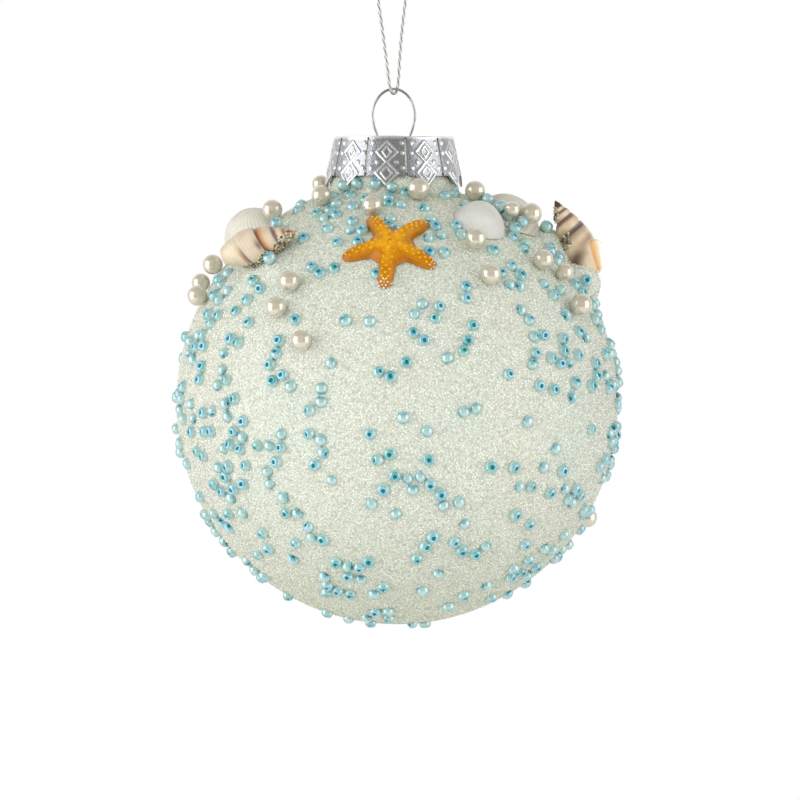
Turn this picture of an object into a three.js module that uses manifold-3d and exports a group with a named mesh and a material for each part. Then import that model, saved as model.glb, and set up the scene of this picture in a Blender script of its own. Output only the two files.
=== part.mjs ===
// Christmas bauble: a hollow blown glass ball under a coat of glass microbeads, dressed with seed
// beads, pearls, a resin starfish and five sea shells. A pressed metal cap sits on its neck, a
// wire hanger springs inside the neck, and a thin silver cord is tied through the hanger.
// Millimetres, +Z up, front towards -Y. The origin is inside the top of the cord's loop, where the
// bauble hangs. Every piece is worked out around the middle of the ball, and the group is then
// lowered by the height of the loop above it.
import * as THREE from 'three';
import { mergeVertices } from 'three/addons/utils/BufferGeometryUtils.js';
import Module from 'manifold-3d';

const wasm = await Module();
wasm.setup();

// Clearance between pieces that touch
const GAP = 0.3;

// Glass ball and its neck
const BALL_RADIUS = 50;
const BALL_WALL = 1.2;
const BALL_SIDES = 32;
const BALL_BANDS = 16;
const BORE_SIDES = 20;
const BORE_BANDS = 12;
const NECK_SIDES = 24;
const NECK_OFFSET = -0.75;
const NECK_RADIUS = 12.4;
const NECK_LENGTH = 11.5;
const SHOULDER_FLARE = 2.3;
const SHOULDER_HEIGHT = 5.8;
const SHOULDER_SINK = 1.2;

// Pressed metal cap
const CAP_SHEET = 0.4;
const CAP_CLEARANCE = 0.6;
const CAP_FLARE = 1.9;
const CAP_SKIRT = 8.7;
const CAP_FLAPS = 10;
const CAP_FLAP_TURN = -7;
const CAP_SLIT = 0.55;
const CAP_POINT_WIDTH = 5.0;
const CAP_POINT_DROP = 2.0;

// Wire hanger
const WIRE_DIAMETER = 0.6;
const EYE_WIDTH = 9.6;
const EYE_HEIGHT = 11.1;
const LEG_SPACING = 7.3;
const LEG_SPREAD = 16.4;
const LEG_LENGTH = 9.6;
const WIRE_HOLE = 1.7;

// Hanging cord and its knot
const CORD_DIAMETER = 0.8;
const KNOT_DIAMETER = 2.8;
const KNOT_HEIGHT = 2.6;
const KNOT_TAIL = 3.0;

// Starfish
const STAR_THICKNESS = 2.7;
const STAR_VALLEY = 5.4;
const STAR_ARM_SPREAD = 15.2;
const STAR_SPOT = { azimuth: -2.2, elevation: 44.8 };
const STAR_ARMS = [
  { turn: -21.9, length: 11.7 },
  { turn: 39.1, length: 12.2 },
  { turn: 116.0, length: 11.1 },
  { turn: 186.9, length: 11.5 },
  { turn: 261.9, length: 11.1 },
];

// Banded whelks: heading is the way the spire points, counted from east towards north, and tilt
// lifts the spire off the ball
const WHELK_LEFT = {
  azimuth: -51.6, elevation: 41.4, heading: 36, tilt: -13, lift: 0,
  length: 18.0, radius: 4.1, lastSuture: 9.6, whorlRatio: 1.85, lipTurn: 190, mouth: 0.25, lip: 0.12,
};
const WHELK_RIGHT = {
  azimuth: 86.5, elevation: 41.6, heading: 90, tilt: 14, lift: 0.7,
  length: 19.4, radius: 3.6, lastSuture: 6.9, whorlRatio: 1.74, lipTurn: 8, mouth: 0.55, lip: 0.42,
};

// Single valves of bivalves: width across, height from hinge to rim, crown is the dome's rise
// and turn aims the hinge, counted from south towards east
const VALVE_WALL = 0.9;
const VALVE_SMOOTH = {
  azimuth: 40.3, elevation: 54.6, turn: 40, width: 13.4, height: 12.2, crown: 4.4,
};
const VALVE_CLAM = {
  azimuth: 71.5, elevation: 57.3, turn: -75, width: 14.8, height: 16.8, crown: 4.7,
};
const VALVE_RIBBED = {
  azimuth: -81.5, elevation: 49.0, turn: 78, width: 15.0, height: 13.4, crown: 6.3,
};

// Mounds of the coat that bed the whelks and the raised pearl on the left
const MOUNDS = [
  { azimuth: 85, elevation: 33.0, radius: 4.6, rise: 4.6 },
  { azimuth: 90, elevation: 45.0, radius: 6.0, rise: 3.6 },
  { azimuth: -50, elevation: 38.5, radius: 6.0, rise: 1.4 },
  { azimuth: -66, elevation: 54.9, radius: 2.5, rise: 1.1 },
];

// Pearl that stands close beside the cap on a mound of its own
const CAP_PEARL = { azimuth: -112.0, diameter: 4.0, lift: 1.0 };

// Pearls on the front: azimuth and elevation of each, its diameter, and lift where it stands on
// a neighbour
const PEARL_DIAMETER = 4.6;
const PEARLS_FRONT = [
  { azimuth: -47.6, elevation: 63.9 },
  { azimuth: -66.0, elevation: 54.9, lift: 1.2 },
  { azimuth: -84.6, elevation: 36.9 },
  { azimuth: -87.0, elevation: 31.6, diameter: 4.2 },
  { azimuth: -76.6, elevation: 27.8 },
  { azimuth: -33.0, elevation: 32.1 },
  { azimuth: -34.8, elevation: 24.8 },
  { azimuth: -25.2, elevation: 16.2 },
  { azimuth: -12.0, elevation: 58.9 },
  { azimuth: 13.8, elevation: 67.5, diameter: 5.0 },
  { azimuth: 57.9, elevation: 66.6 },
  { azimuth: 27.6, elevation: 44.5, lift: 1.0 },
  { azimuth: 29.0, elevation: 34.1 },
  { azimuth: 62.1, elevation: 51.5, lift: 2.45, diameter: 4.8 },
  { azimuth: 54.3, elevation: 54.0, lift: 2.4, diameter: 3.6 },
  { azimuth: 53.6, elevation: 38.6, diameter: 4.5 },
  { azimuth: 62.1, elevation: 34.9, diameter: 3.9 },
  { azimuth: 60.5, elevation: 25.3, diameter: 5.0 },
];
// Pearls on the back stand on a spiral of equal steps
const PEARLS_BACK = 6;
const PEARLS_BACK_LOW = -38;
const PEARLS_BACK_HIGH = 60;

// Seed beads: the largest of them are fused to the ball's coat
const BEAD_DIAMETER = 2.2;
const BEAD_LENGTH = 1.9;
const BEAD_SIDES = 6;
const BEAD_PROUD = 1.2;
const BEAD_SPACING = 4.5;
const BEAD_SEED = 20311;
// Drifts of seed beads: where each is thick, how far it spreads and how many the solid carries
const BEAD_DRIFTS = [
  { azimuth: -62, elevation: 2, spreadAzimuth: 26, spreadElevation: 22, count: 6 },
  { azimuth: 62, elevation: 6, spreadAzimuth: 26, spreadElevation: 24, count: 6 },
  { azimuth: -35, elevation: -42, spreadAzimuth: 34, spreadElevation: 20, count: 6 },
  { azimuth: 34, elevation: -42, spreadAzimuth: 36, spreadElevation: 20, count: 6 },
  { azimuth: 10, elevation: 56, spreadAzimuth: 60, spreadElevation: 10, count: 5 },
  { azimuth: 180, elevation: 0, spreadAzimuth: 80, spreadElevation: 50, count: 4 },
];

// Radii of the cap, at its top and at the points of its flaps
const capTopRadius = NECK_RADIUS + CAP_CLEARANCE + CAP_SHEET;
const capTipRadius = capTopRadius + (CAP_FLARE * (CAP_SKIRT + CAP_POINT_DROP)) / CAP_SKIRT;

// Heights above the middle of the ball, each worked out from the piece below it
const shoulderHeight = Math.sqrt(BALL_RADIUS ** 2 - NECK_RADIUS ** 2);
const neckTop = shoulderHeight + NECK_LENGTH;
const capTop = neckTop + GAP + CAP_SHEET;
const wireRadius = WIRE_DIAMETER / 2;
const eyeTop = capTop + EYE_HEIGHT;
const eyeMiddle = eyeTop - EYE_HEIGHT * 0.58;
const cordRadius = CORD_DIAMETER / 2;
const cordLow = eyeTop - wireRadius * 2 - GAP - cordRadius;

// Cord route, chosen by hand: across, depth and height from the middle of the bend under the eye
const CORD_ROUTE = [
  [-1.8, 0.0, 28.4], [-2.9, 0.0, 27.9], [-3.9, -0.1, 26.4], [-4.1, -0.2, 24.2],
  [-3.6, -0.4, 21.2], [-2.9, -0.7, 16.6], [-2.2, -0.9, 11.4], [-1.5, -1.0, 6.2],
  [-1.1, -1.1, 2.7], [-0.8, -1.1, 1.2], [-0.45, -0.72, 0.3], [0.0, 0.0, 0.0],
  [0.45, 0.72, 0.3], [0.8, 1.1, 1.2], [1.0, 1.1, 2.7], [1.25, 1.0, 6.2],
  [1.6, 0.8, 11.4], [2.1, 0.6, 16.6], [2.7, 0.3, 21.2], [3.3, 0.2, 24.2],
  [3.3, 0.1, 26.4], [2.6, 0.0, 27.9], [1.8, 0.0, 28.4],
];
const CORD_STEPS = 40;
const knotMiddle = cordLow + CORD_ROUTE[0][2];
const hangHeight = knotMiddle - KNOT_HEIGHT / 2;

// Finishes
const finish = (color, roughness, metalness) =>
  new THREE.MeshStandardMaterial({ color, roughness, metalness });
const FINISHES = {
  coat: () => finish('#d2dac8', 0.45, 0.0),
  capMetal: () => finish('#b4b4b6', 0.32, 1.0),
  wire: () => finish('#a9aaab', 0.25, 1.0),
  cord: () => finish('#c9c8c2', 0.4, 0.6),
  resin: () => finish('#dc8a1c', 0.2, 0.0),
  whelk: () => finish('#d8c6a4', 0.35, 0.0),
  valve: () => finish('#e2e0d8', 0.4, 0.0),
  pearl: () => finish('#d9cdb0', 0.2, 0.1),
};

const radians = THREE.MathUtils.degToRad;

// Unit vector out of the ball at an azimuth, counted from the front to the right, and elevation
function outward(azimuth, elevation) {
  const a = radians(azimuth);
  const e = radians(elevation);
  return new THREE.Vector3(Math.sin(a) * Math.cos(e), -Math.cos(a) * Math.cos(e), Math.sin(e));
}

// A group whose x runs east, y north and z out of the ball, standing lift above the coat
function seat(azimuth, elevation, lift) {
  const out = outward(azimuth, elevation);
  const a = radians(azimuth);
  const east = new THREE.Vector3(Math.cos(a), Math.sin(a), 0);
  const north = new THREE.Vector3().crossVectors(out, east);
  const group = new THREE.Group();
  group.setRotationFromMatrix(new THREE.Matrix4().makeBasis(east, north, out));
  group.position.copy(out).multiplyScalar(BALL_RADIUS + lift);
  return group;
}

// How far the coat falls away below a seat's plane at a distance from its middle
function coatDrop(x, y) {
  return BALL_RADIUS - Math.sqrt(Math.max(BALL_RADIUS ** 2 - x * x - y * y, 0));
}

function part(name, geometry, material) {
  const mesh = new THREE.Mesh(geometry, material);
  mesh.name = name;
  return mesh;
}

// Closed body from rings of points between a first and a last point
function ringSolid(first, rings, last) {
  const count = rings[0].length;
  const points = [first, ...rings.flat(), last];
  const indices = [];
  const end = points.length - 1;
  for (let i = 0; i < count; i += 1) {
    const j = (i + 1) % count;
    indices.push(0, 1 + i, 1 + j);
    for (let k = 0; k + 1 < rings.length; k += 1) {
      const low = 1 + k * count;
      const high = low + count;
      indices.push(low + i, high + i, high + j, low + i, high + j, low + j);
    }
    const lastRing = 1 + (rings.length - 1) * count;
    indices.push(end, lastRing + j, lastRing + i);
  }
  const geometry = new THREE.BufferGeometry();
  geometry.setAttribute('position', new THREE.Float32BufferAttribute(points.flat(), 3));
  geometry.setIndex(indices);
  return geometry;
}

// Manifold body from a closed geometry, and back
function toManifold(source) {
  const geometry = source.clone();
  geometry.deleteAttribute('normal');
  geometry.deleteAttribute('uv');
  const merged = mergeVertices(geometry, 1e-4);
  return new wasm.Manifold(new wasm.Mesh({
    numProp: 3,
    vertProperties: new Float32Array(merged.attributes.position.array),
    triVerts: new Uint32Array(merged.index.array),
  }));
}

function fromManifold(body) {
  const mesh = body.getMesh();
  const geometry = new THREE.BufferGeometry();
  geometry.setAttribute('position', new THREE.BufferAttribute(mesh.vertProperties, 3));
  geometry.setIndex(new THREE.BufferAttribute(mesh.triVerts, 1));
  return geometry;
}

// Body of revolution about Z from [radius, height] pairs that start and end on the axis
function turned(profile, sides) {
  const points = profile.map(([radius, height]) => new THREE.Vector2(radius, height));
  return new THREE.LatheGeometry(points, sides).rotateX(Math.PI / 2);
}

// Seeded numbers from 0 to 1, the same on every run
function seededNumbers(seed) {
  let state = seed;
  return () => {
    state = (state * 16807) % 2147483647;
    return state / 2147483647;
  };
}

const pearlsOnBack = Array.from({ length: PEARLS_BACK }, (_, i) => ({
  azimuth: 108 + 144 * ((i * 0.618) % 1),
  elevation: PEARLS_BACK_LOW + (i + 0.5) * (PEARLS_BACK_HIGH - PEARLS_BACK_LOW) / PEARLS_BACK,
}));
// The pearl beside the cap keeps clear of the points of its flaps
const capPearlReach = capTipRadius + GAP + CAP_PEARL.diameter / 2
  + NECK_OFFSET * Math.sin(radians(CAP_PEARL.azimuth));
const capPearlRadius = BALL_RADIUS + GAP + CAP_PEARL.diameter / 2 + CAP_PEARL.lift;
const capPearl = {
  ...CAP_PEARL, elevation: THREE.MathUtils.radToDeg(Math.acos(capPearlReach / capPearlRadius)),
};
const pearls = [capPearl, ...PEARLS_FRONT, ...pearlsOnBack];
const mounds = [...MOUNDS, { ...capPearl, radius: capPearl.diameter * 0.75, rise: 0.9 }];

// Places that the seed beads leave free: each shell, the starfish, the pearls and the cap
function keepOuts() {
  const places = [
    { spot: STAR_SPOT, radius: 13 },
    { spot: VALVE_SMOOTH, radius: VALVE_SMOOTH.width / 2 + 1.5 },
    { spot: VALVE_CLAM, radius: VALVE_CLAM.width / 2 + 1.5 },
    { spot: VALVE_RIBBED, radius: VALVE_RIBBED.width / 2 },
    { spot: WHELK_LEFT, radius: WHELK_LEFT.length / 2 },
    { spot: WHELK_RIGHT, radius: WHELK_RIGHT.length / 2 },
    { spot: { azimuth: 0, elevation: 90 }, radius: capTopRadius + CAP_FLARE + 4 },
    ...pearls.map((pearl) => ({ spot: pearl, radius: 4.2 })),
  ];
  return places.map(({ spot, radius }) => ({
    out: outward(spot.azimuth, spot.elevation), radius,
  }));
}

// Seats of the seed beads that the solid carries
function beadSeats() {
  const next = seededNumbers(BEAD_SEED);
  const taken = keepOuts();
  const seats = [];
  for (const drift of BEAD_DRIFTS) {
    let placed = 0;
    for (let attempt = 0; placed < drift.count && attempt < drift.count * 30; attempt += 1) {
      const azimuth = drift.azimuth + (next() + next() - 1) * drift.spreadAzimuth;
      const elevation = drift.elevation + (next() + next() - 1) * drift.spreadElevation;
      const lying = next() < 0.4;
      const turn = next() * 180;
      const out = outward(azimuth, elevation);
      const free = taken.every((place) => place.out.distanceTo(out) * BALL_RADIUS > place.radius);
      if (free) {
        taken.push({ out, radius: BEAD_SPACING });
        seats.push({ azimuth, elevation, lying, turn });
        placed += 1;
      }
    }
  }
  return seats;
}

// One seed bead sunk in the coat, in the ball's own frame
function seedBead({ azimuth, elevation, lying, turn }) {
  const bead = new THREE.CylinderGeometry(
    BEAD_DIAMETER / 2, BEAD_DIAMETER / 2, BEAD_LENGTH, BEAD_SIDES);
  const high = lying ? BEAD_DIAMETER : BEAD_LENGTH;
  if (!lying) bead.rotateX(Math.PI / 2);
  bead.rotateZ(radians(turn));
  const holder = seat(azimuth, elevation, BEAD_PROUD - high / 2);
  holder.updateMatrix();
  return bead.applyMatrix4(holder.matrix);
}

// Low dome of coat, in the ball's own frame
function moundOfCoat({ azimuth, elevation, radius, rise }) {
  const dome = new THREE.IcosahedronGeometry(radius, 1).scale(1, 1, rise / radius);
  const holder = seat(azimuth, elevation, -coatDrop(radius / 2, 0));
  holder.updateMatrix();
  return dome.applyMatrix4(holder.matrix);
}

// Geometry of the one mesh in a group, moved to where the group holds it
function inPlace(group) {
  group.updateMatrixWorld(true);
  let moved = null;
  group.traverse((child) => {
    if (child.isMesh) moved = child.geometry.clone().applyMatrix4(child.matrixWorld);
  });
  return moved;
}

// Outside of the neck: a rounded shoulder of glass and coat that runs into the ball
function neckProfile() {
  const flare = [0, 0.3, 0.65, 1].map((step) => {
    const out = SHOULDER_FLARE * Math.sin(step * Math.PI / 2);
    const height = shoulderHeight + SHOULDER_HEIGHT * Math.cos(step * Math.PI / 2);
    return [NECK_RADIUS + out, height - SHOULDER_SINK];
  });
  const foot = shoulderHeight * 0.85;
  return [
    [0, foot], [NECK_RADIUS * 0.9, foot], ...flare.reverse(), [NECK_RADIUS, neckTop], [0, neckTop],
  ];
}

function ballOutside(radius, sides, bands) {
  const profile = Array.from({ length: bands + 1 }, (_, i) => {
    const angle = -Math.PI / 2 + (i * Math.PI) / bands;
    const onAxis = i === 0 || i === bands;
    return [onAxis ? 0 : radius * Math.cos(angle), radius * Math.sin(angle)];
  });
  return turned(profile, sides);
}

// Blown ball with its neck open at the top and the largest seed beads stuck on its coat
function glassBall() {
  const outside = ballOutside(BALL_RADIUS, BALL_SIDES, BALL_BANDS);
  const neck = turned(neckProfile(), NECK_SIDES).translate(NECK_OFFSET, 0, 0);
  const inside = ballOutside(BALL_RADIUS - BALL_WALL, BORE_SIDES, BORE_BANDS);
  const boreRadius = NECK_RADIUS - BALL_WALL;
  const bore = turned(
    [[0, 0], [boreRadius, 0], [boreRadius, neckTop + 1], [0, neckTop + 1]], BORE_SIDES,
  ).translate(NECK_OFFSET, 0, 0);
  let body = toManifold(outside).add(toManifold(neck));
  for (const mound of mounds) body = body.add(toManifold(moundOfCoat(mound)));
  for (const shell of [WHELK_LEFT, WHELK_RIGHT]) {
    body = body.subtract(toManifold(inPlace(whelk('bed', shell, GAP))));
  }
  for (const place of beadSeats()) body = body.add(toManifold(seedBead(place)));
  body = body.subtract(toManifold(inside)).subtract(toManifold(bore));
  return part('glass_ball', fromManifold(body), FINISHES.coat());
}

// Pressed cap: a flat top and a flared skirt slit into pointed flaps, with two wire holes
function cap() {
  const inner = capTopRadius - CAP_SHEET;
  const drop = CAP_SKIRT + CAP_POINT_DROP;
  const tip = capTop - drop;
  const cup = turned([
    [0, capTop - CAP_SHEET],
    [inner, capTop - CAP_SHEET],
    [capTipRadius - CAP_SHEET, tip],
    [capTipRadius, tip],
    [capTopRadius, capTop],
    [0, capTop],
  ], CAP_FLAPS * 4);
  cup.rotateZ(radians(CAP_FLAP_TURN - 90));
  let body = toManifold(cup);
  const skirtRadius = capTopRadius + CAP_FLARE;
  const pitch = 2 * skirtRadius * Math.sin(Math.PI / CAP_FLAPS);
  const slit = CAP_SLIT / 2;
  const shoulder = pitch / 2 - CAP_POINT_WIDTH / 2;
  const outline = new THREE.Shape([
    [-slit, -CAP_SHEET * 2], [-slit, -CAP_SKIRT], [-shoulder, -CAP_SKIRT],
    [-pitch / 2, -drop], [-pitch / 2, -drop - 1], [pitch / 2, -drop - 1],
    [pitch / 2, -drop], [shoulder, -CAP_SKIRT], [slit, -CAP_SKIRT], [slit, -CAP_SHEET * 2],
  ].map(([x, z]) => new THREE.Vector2(x, z)));
  const depth = CAP_FLARE * 2 + 4;
  for (let i = 0; i < CAP_FLAPS; i += 1) {
    const cutter = new THREE.ExtrudeGeometry(outline, { depth, bevelEnabled: false });
    cutter.rotateX(Math.PI / 2).translate(0, -(skirtRadius - depth / 2), capTop);
    cutter.rotateZ(radians(CAP_FLAP_TURN + ((i + 0.5) * 360) / CAP_FLAPS));
    body = body.subtract(toManifold(cutter));
  }
  for (const side of [-1, 1]) {
    const hole = new THREE.CylinderGeometry(WIRE_HOLE / 2, WIRE_HOLE / 2, CAP_SHEET * 4, 8);
    hole.rotateX(Math.PI / 2).translate((side * LEG_SPACING) / 2, 0, capTop);
    body = body.subtract(toManifold(hole));
  }
  const geometry = fromManifold(body).translate(NECK_OFFSET, 0, 0);
  return part('cap', geometry, FINISHES.capMetal());
}

// Round bar along a smooth curve through points
function bar(points, diameter, sides, steps) {
  const route = new THREE.CatmullRomCurve3(
    points.map(([x, y, z]) => new THREE.Vector3(x, y, z)), false, 'centripetal');
  const section = new THREE.Shape(Array.from({ length: sides }, (_, i) => {
    const angle = (i * 2 * Math.PI) / sides;
    return new THREE.Vector2(
      (diameter / 2) * Math.cos(angle), (diameter / 2) * Math.sin(angle));
  }));
  return new THREE.ExtrudeGeometry(
    section, { steps, extrudePath: route, bevelEnabled: false, curveSegments: 1 });
}

// Sprung wire: an upright oval eye whose legs pass through the cap and splay inside the neck
function wireHanger() {
  const halfWide = EYE_WIDTH / 2;
  const highArc = eyeTop - wireRadius - eyeMiddle;
  const legs = [
    [LEG_SPACING / 2, capTop],
    [LEG_SPACING / 2 - 0.1, capTop - 1.2],
    [LEG_SPACING / 2 + 1.2, capTop - LEG_LENGTH * 0.42],
    [LEG_SPREAD / 2 - 0.8, capTop - LEG_LENGTH * 0.85],
    [LEG_SPREAD / 2, capTop - LEG_LENGTH],
  ];
  const lowArc = [[halfWide * 0.93, eyeMiddle - EYE_HEIGHT * 0.2]];
  const arc = Array.from({ length: 11 }, (_, i) => {
    const angle = (i * Math.PI) / 10;
    return [halfWide * Math.cos(angle), eyeMiddle + highArc * Math.sin(angle)];
  });
  const right = [...legs].reverse().concat(lowArc);
  const left = [...right].reverse().map(([x, z]) => [-x, z]);
  const points = [...right, ...arc, ...left].map(([x, z]) => [NECK_OFFSET + x, 0, z]);
  return part('wire_hanger', bar(points, WIRE_DIAMETER, 6, 36), FINISHES.wire());
}

// Cord from the knot down through the eye and back up to the knot
function cord() {
  const points = CORD_ROUTE.map(([x, y, z]) => [NECK_OFFSET + x, y, cordLow + z]);
  return part('hanging_cord', bar(points, CORD_DIAMETER, 8, CORD_STEPS), FINISHES.cord());
}

// Knot that ties the cord's two ends, with its two cut tails
function knot() {
  const half = KNOT_HEIGHT / 2;
  const radius = KNOT_DIAMETER / 2;
  const lump = turned([[0, -half], [radius * 0.62, -half * 0.85], [radius, -half * 0.25],
    [radius, half * 0.25], [radius * 0.62, half * 0.85], [0, half]], 10);
  let body = toManifold(lump);
  for (const side of [-1, 1]) {
    const tail = new THREE.CylinderGeometry(cordRadius, cordRadius, KNOT_TAIL + half, 6);
    tail.rotateX(Math.PI / 2).rotateY(radians(side * 14)).translate(
      side * radius * 0.45, 0, half + KNOT_TAIL / 2 - half / 2);
    body = body.add(toManifold(tail));
  }
  const geometry = fromManifold(body).translate(NECK_OFFSET, 0, knotMiddle);
  return part('knot', geometry, FINISHES.cord());
}

// Distance from the star's middle to its outline at a turn from north towards east
function starReach(turn) {
  let reach = STAR_VALLEY;
  for (const arm of STAR_ARMS) {
    const off = Math.abs(((turn - arm.turn + 540) % 360) - 180);
    const swell = Math.exp(-((off / STAR_ARM_SPREAD) ** 1.8));
    reach = Math.max(reach, STAR_VALLEY + (arm.length - STAR_VALLEY) * swell);
  }
  return reach;
}

// Five-armed starfish that follows the ball, thickest in the middle and along each arm
function starfish() {
  const perArm = [-36, -22, -12, -5, 0, 5, 12, 22];
  const turns = STAR_ARMS.flatMap((arm) => perArm.map((step) => arm.turn + step));
  turns.sort((a, b) => b - a);
  const point = (turn, share, high) => {
    const reach = starReach(turn) * share;
    const x = reach * Math.sin(radians(turn));
    const y = reach * Math.cos(radians(turn));
    return [x, y, GAP + high - coatDrop(x, y)];
  };
  const rise = (share) => STAR_THICKNESS * Math.sqrt(1 - share ** 2);
  const rings = [0.5, 0.85].map(
    (share) => turns.map((turn) => point(turn, share, rise(share))));
  rings.push(turns.map((turn) => point(turn, 1, STAR_THICKNESS * 0.18)));
  rings.push(turns.map((turn) => point(turn, 0.9, 0)));
  const geometry = ringSolid([0, 0, GAP + STAR_THICKNESS], rings, [0, 0, GAP]);
  const holder = seat(STAR_SPOT.azimuth, STAR_SPOT.elevation, 0);
  holder.add(part('starfish', geometry, FINISHES.resin()));
  return holder;
}

// Outline of a whelk from its spire, at 0, to its canal, at 1, as a share of its radius
const WHELK_OUTLINE = [[0, 0.03], [0.06, 0.2], [0.2, 0.52], [0.36, 0.82], [0.55, 1], [0.7, 0.95],
  [0.84, 0.74], [0.94, 0.55], [1, 0.38]];

// How far the mouth runs towards the canal, the turn it takes up and the turn the lip flares over
const MOUTH_END = 0.97;
const MOUTH_TURN = 62;
const LIP_TURN = 20;

function whelkEnvelope(share) {
  const k = WHELK_OUTLINE.findIndex(([end]) => share <= end);
  if (k <= 0) return WHELK_OUTLINE[0][1];
  const [startShare, startWide] = WHELK_OUTLINE[k - 1];
  const [endShare, endWide] = WHELK_OUTLINE[k];
  const mix = (share - startShare) / (endShare - startShare);
  return startWide + (endWide - startWide) * (mix * mix * (3 - 2 * mix) * 0.4 + mix * 0.6);
}

// Radius of a whelk at a distance from its spire and a turn about it from the outward side:
// the whorls swell between sutures, and the mouth is a hollow beside the lip
function whelkRadius(shell, distance, turn) {
  const share = distance / shell.length;
  let radius = shell.radius * whelkEnvelope(share);
  const turns = ((((turn - shell.lipTurn) % 360) - 360) % 360) / 360;
  const coil = Math.log(distance / shell.lastSuture) / Math.log(shell.whorlRatio) + turns + 1;
  if (coil < 0) {
    const within = coil - Math.floor(coil);
    radius *= 0.91 + 0.11 * Math.sin(Math.PI * Math.min(within * 1.15, 1)) ** 0.5;
  }
  const fromLip = -turns * 360;
  const top = shell.lastSuture * shell.whorlRatio;
  if (distance > top && share < MOUTH_END) {
    const along = (distance - top) / (shell.length * MOUTH_END - top);
    const open = Math.sin(Math.PI * along) ** 0.5;
    const across = Math.min(fromLip / 12, (MOUTH_TURN - fromLip) / 30, 1);
    const beside = Math.min(fromLip, 360 - fromLip) / LIP_TURN;
    radius *= 1 + open * (shell.lip * Math.exp(-(beside ** 2)) - shell.mouth * Math.max(across, 0));
  }
  return radius;
}

// Spiral shell lying on the ball, its surface moved out by grow
function whelk(name, shell, grow = 0) {
  const around = 12;
  const stations = [0.03, 0.09, 0.15, 0.21, 0.27, 0.33, 0.39, 0.46, 0.54, 0.62, 0.7, 0.78, 0.86,
    0.93, 0.98];
  const spireX = shell.length * 0.55;
  const rings = stations.map((share) => Array.from({ length: around }, (_, i) => {
    const turn = (i * 360) / around;
    const distance = share * shell.length;
    const radius = whelkRadius(shell, distance, turn) + grow;
    return [spireX - distance, -radius * Math.sin(radians(turn)), radius * Math.cos(radians(turn))];
  }));
  const geometry = ringSolid(
    [spireX + grow, 0, 0], rings, [spireX - shell.length - grow, 0, 0]);
  const mesh = part(name, geometry, FINISHES.whelk());
  mesh.rotation.set(0, -radians(shell.tilt), 0);
  const heading = new THREE.Group();
  heading.rotation.z = radians(shell.heading);
  heading.add(mesh);
  const holder = seat(shell.azimuth, shell.elevation, GAP + shell.radius + shell.lift);
  holder.add(heading);
  return holder;
}

// Point of a valve's outside or inside at a share of its reach and a turn from the hinge
function valvePoint(valve, share, turn, inside) {
  const wall = inside ? VALVE_WALL : 0;
  const hinge = (1 + Math.cos(radians(turn))) / 2;
  const reachX = (valve.width / 2 - wall) * (1 - 0.22 * hinge ** 2);
  const reachY = valve.height / 2 - wall;
  const x = share * reachX * Math.sin(radians(turn));
  const y = -share * reachY * Math.cos(radians(turn));
  const crown = (valve.crown - wall) * (1 - share ** 2.4) ** 0.75;
  return [x, y, GAP + crown - coatDrop(x, y)];
}

// Cupped valve with true walls, its crown away from the ball
function valve(name, shell) {
  const around = 18;
  const turns = Array.from({ length: around }, (_, i) => (i * 360) / around);
  const ring = (share, inside) => turns.map((turn) => valvePoint(shell, share, turn, inside));
  const rings = [ring(0.4, false), ring(0.7, false), ring(0.9, false), ring(1, false),
    ring(1, true), ring(0.85, true), ring(0.5, true)];
  const geometry = ringSolid(
    [0, 0, GAP + shell.crown], rings, [0, 0, GAP + shell.crown - VALVE_WALL]);
  const mesh = part(name, geometry, FINISHES.valve());
  mesh.rotation.z = radians(shell.turn);
  const holder = seat(shell.azimuth, shell.elevation, 0);
  holder.add(mesh);
  return holder;
}

function pearl(name, { azimuth, elevation, diameter = PEARL_DIAMETER, lift = 0 }) {
  const mesh = part(name, new THREE.IcosahedronGeometry(diameter / 2, 1), FINISHES.pearl());
  const geometry = mesh.geometry;
  geometry.deleteAttribute('normal');
  geometry.deleteAttribute('uv');
  mesh.geometry = mergeVertices(geometry, 1e-4);
  mesh.position.copy(outward(azimuth, elevation));
  mesh.position.multiplyScalar(BALL_RADIUS + GAP + diameter / 2 + lift);
  return mesh;
}

const bauble = new THREE.Group();
bauble.add(glassBall(), cap(), wireHanger(), cord(), knot(), starfish());
bauble.add(whelk('whelk_left', WHELK_LEFT), whelk('whelk_right', WHELK_RIGHT));
bauble.add(valve('smooth_valve', VALVE_SMOOTH), valve('clam_valve', VALVE_CLAM));
bauble.add(valve('ribbed_valve', VALVE_RIBBED));
pearls.forEach((place, i) => bauble.add(pearl(`pearl_${String(i + 1).padStart(2, '0')}`, place)));
bauble.position.set(-NECK_OFFSET, 0, -hangHeight);

const model = new THREE.Group();
model.add(bauble);

export default model;
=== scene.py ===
"""Christmas bauble: a glass ball coated with microbeads, with seed beads, shells and pearls.

Every piece is worked out in millimetres around the middle of the ball, as the part's source does,
and is moved into the part's own frame, in metres, when its mesh is made.
"""

import logging
import math
from dataclasses import dataclass, field
from enum import Enum
from typing import Any, Callable, Iterator, Sequence

import bpy
from mathutils import Matrix, Vector


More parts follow.
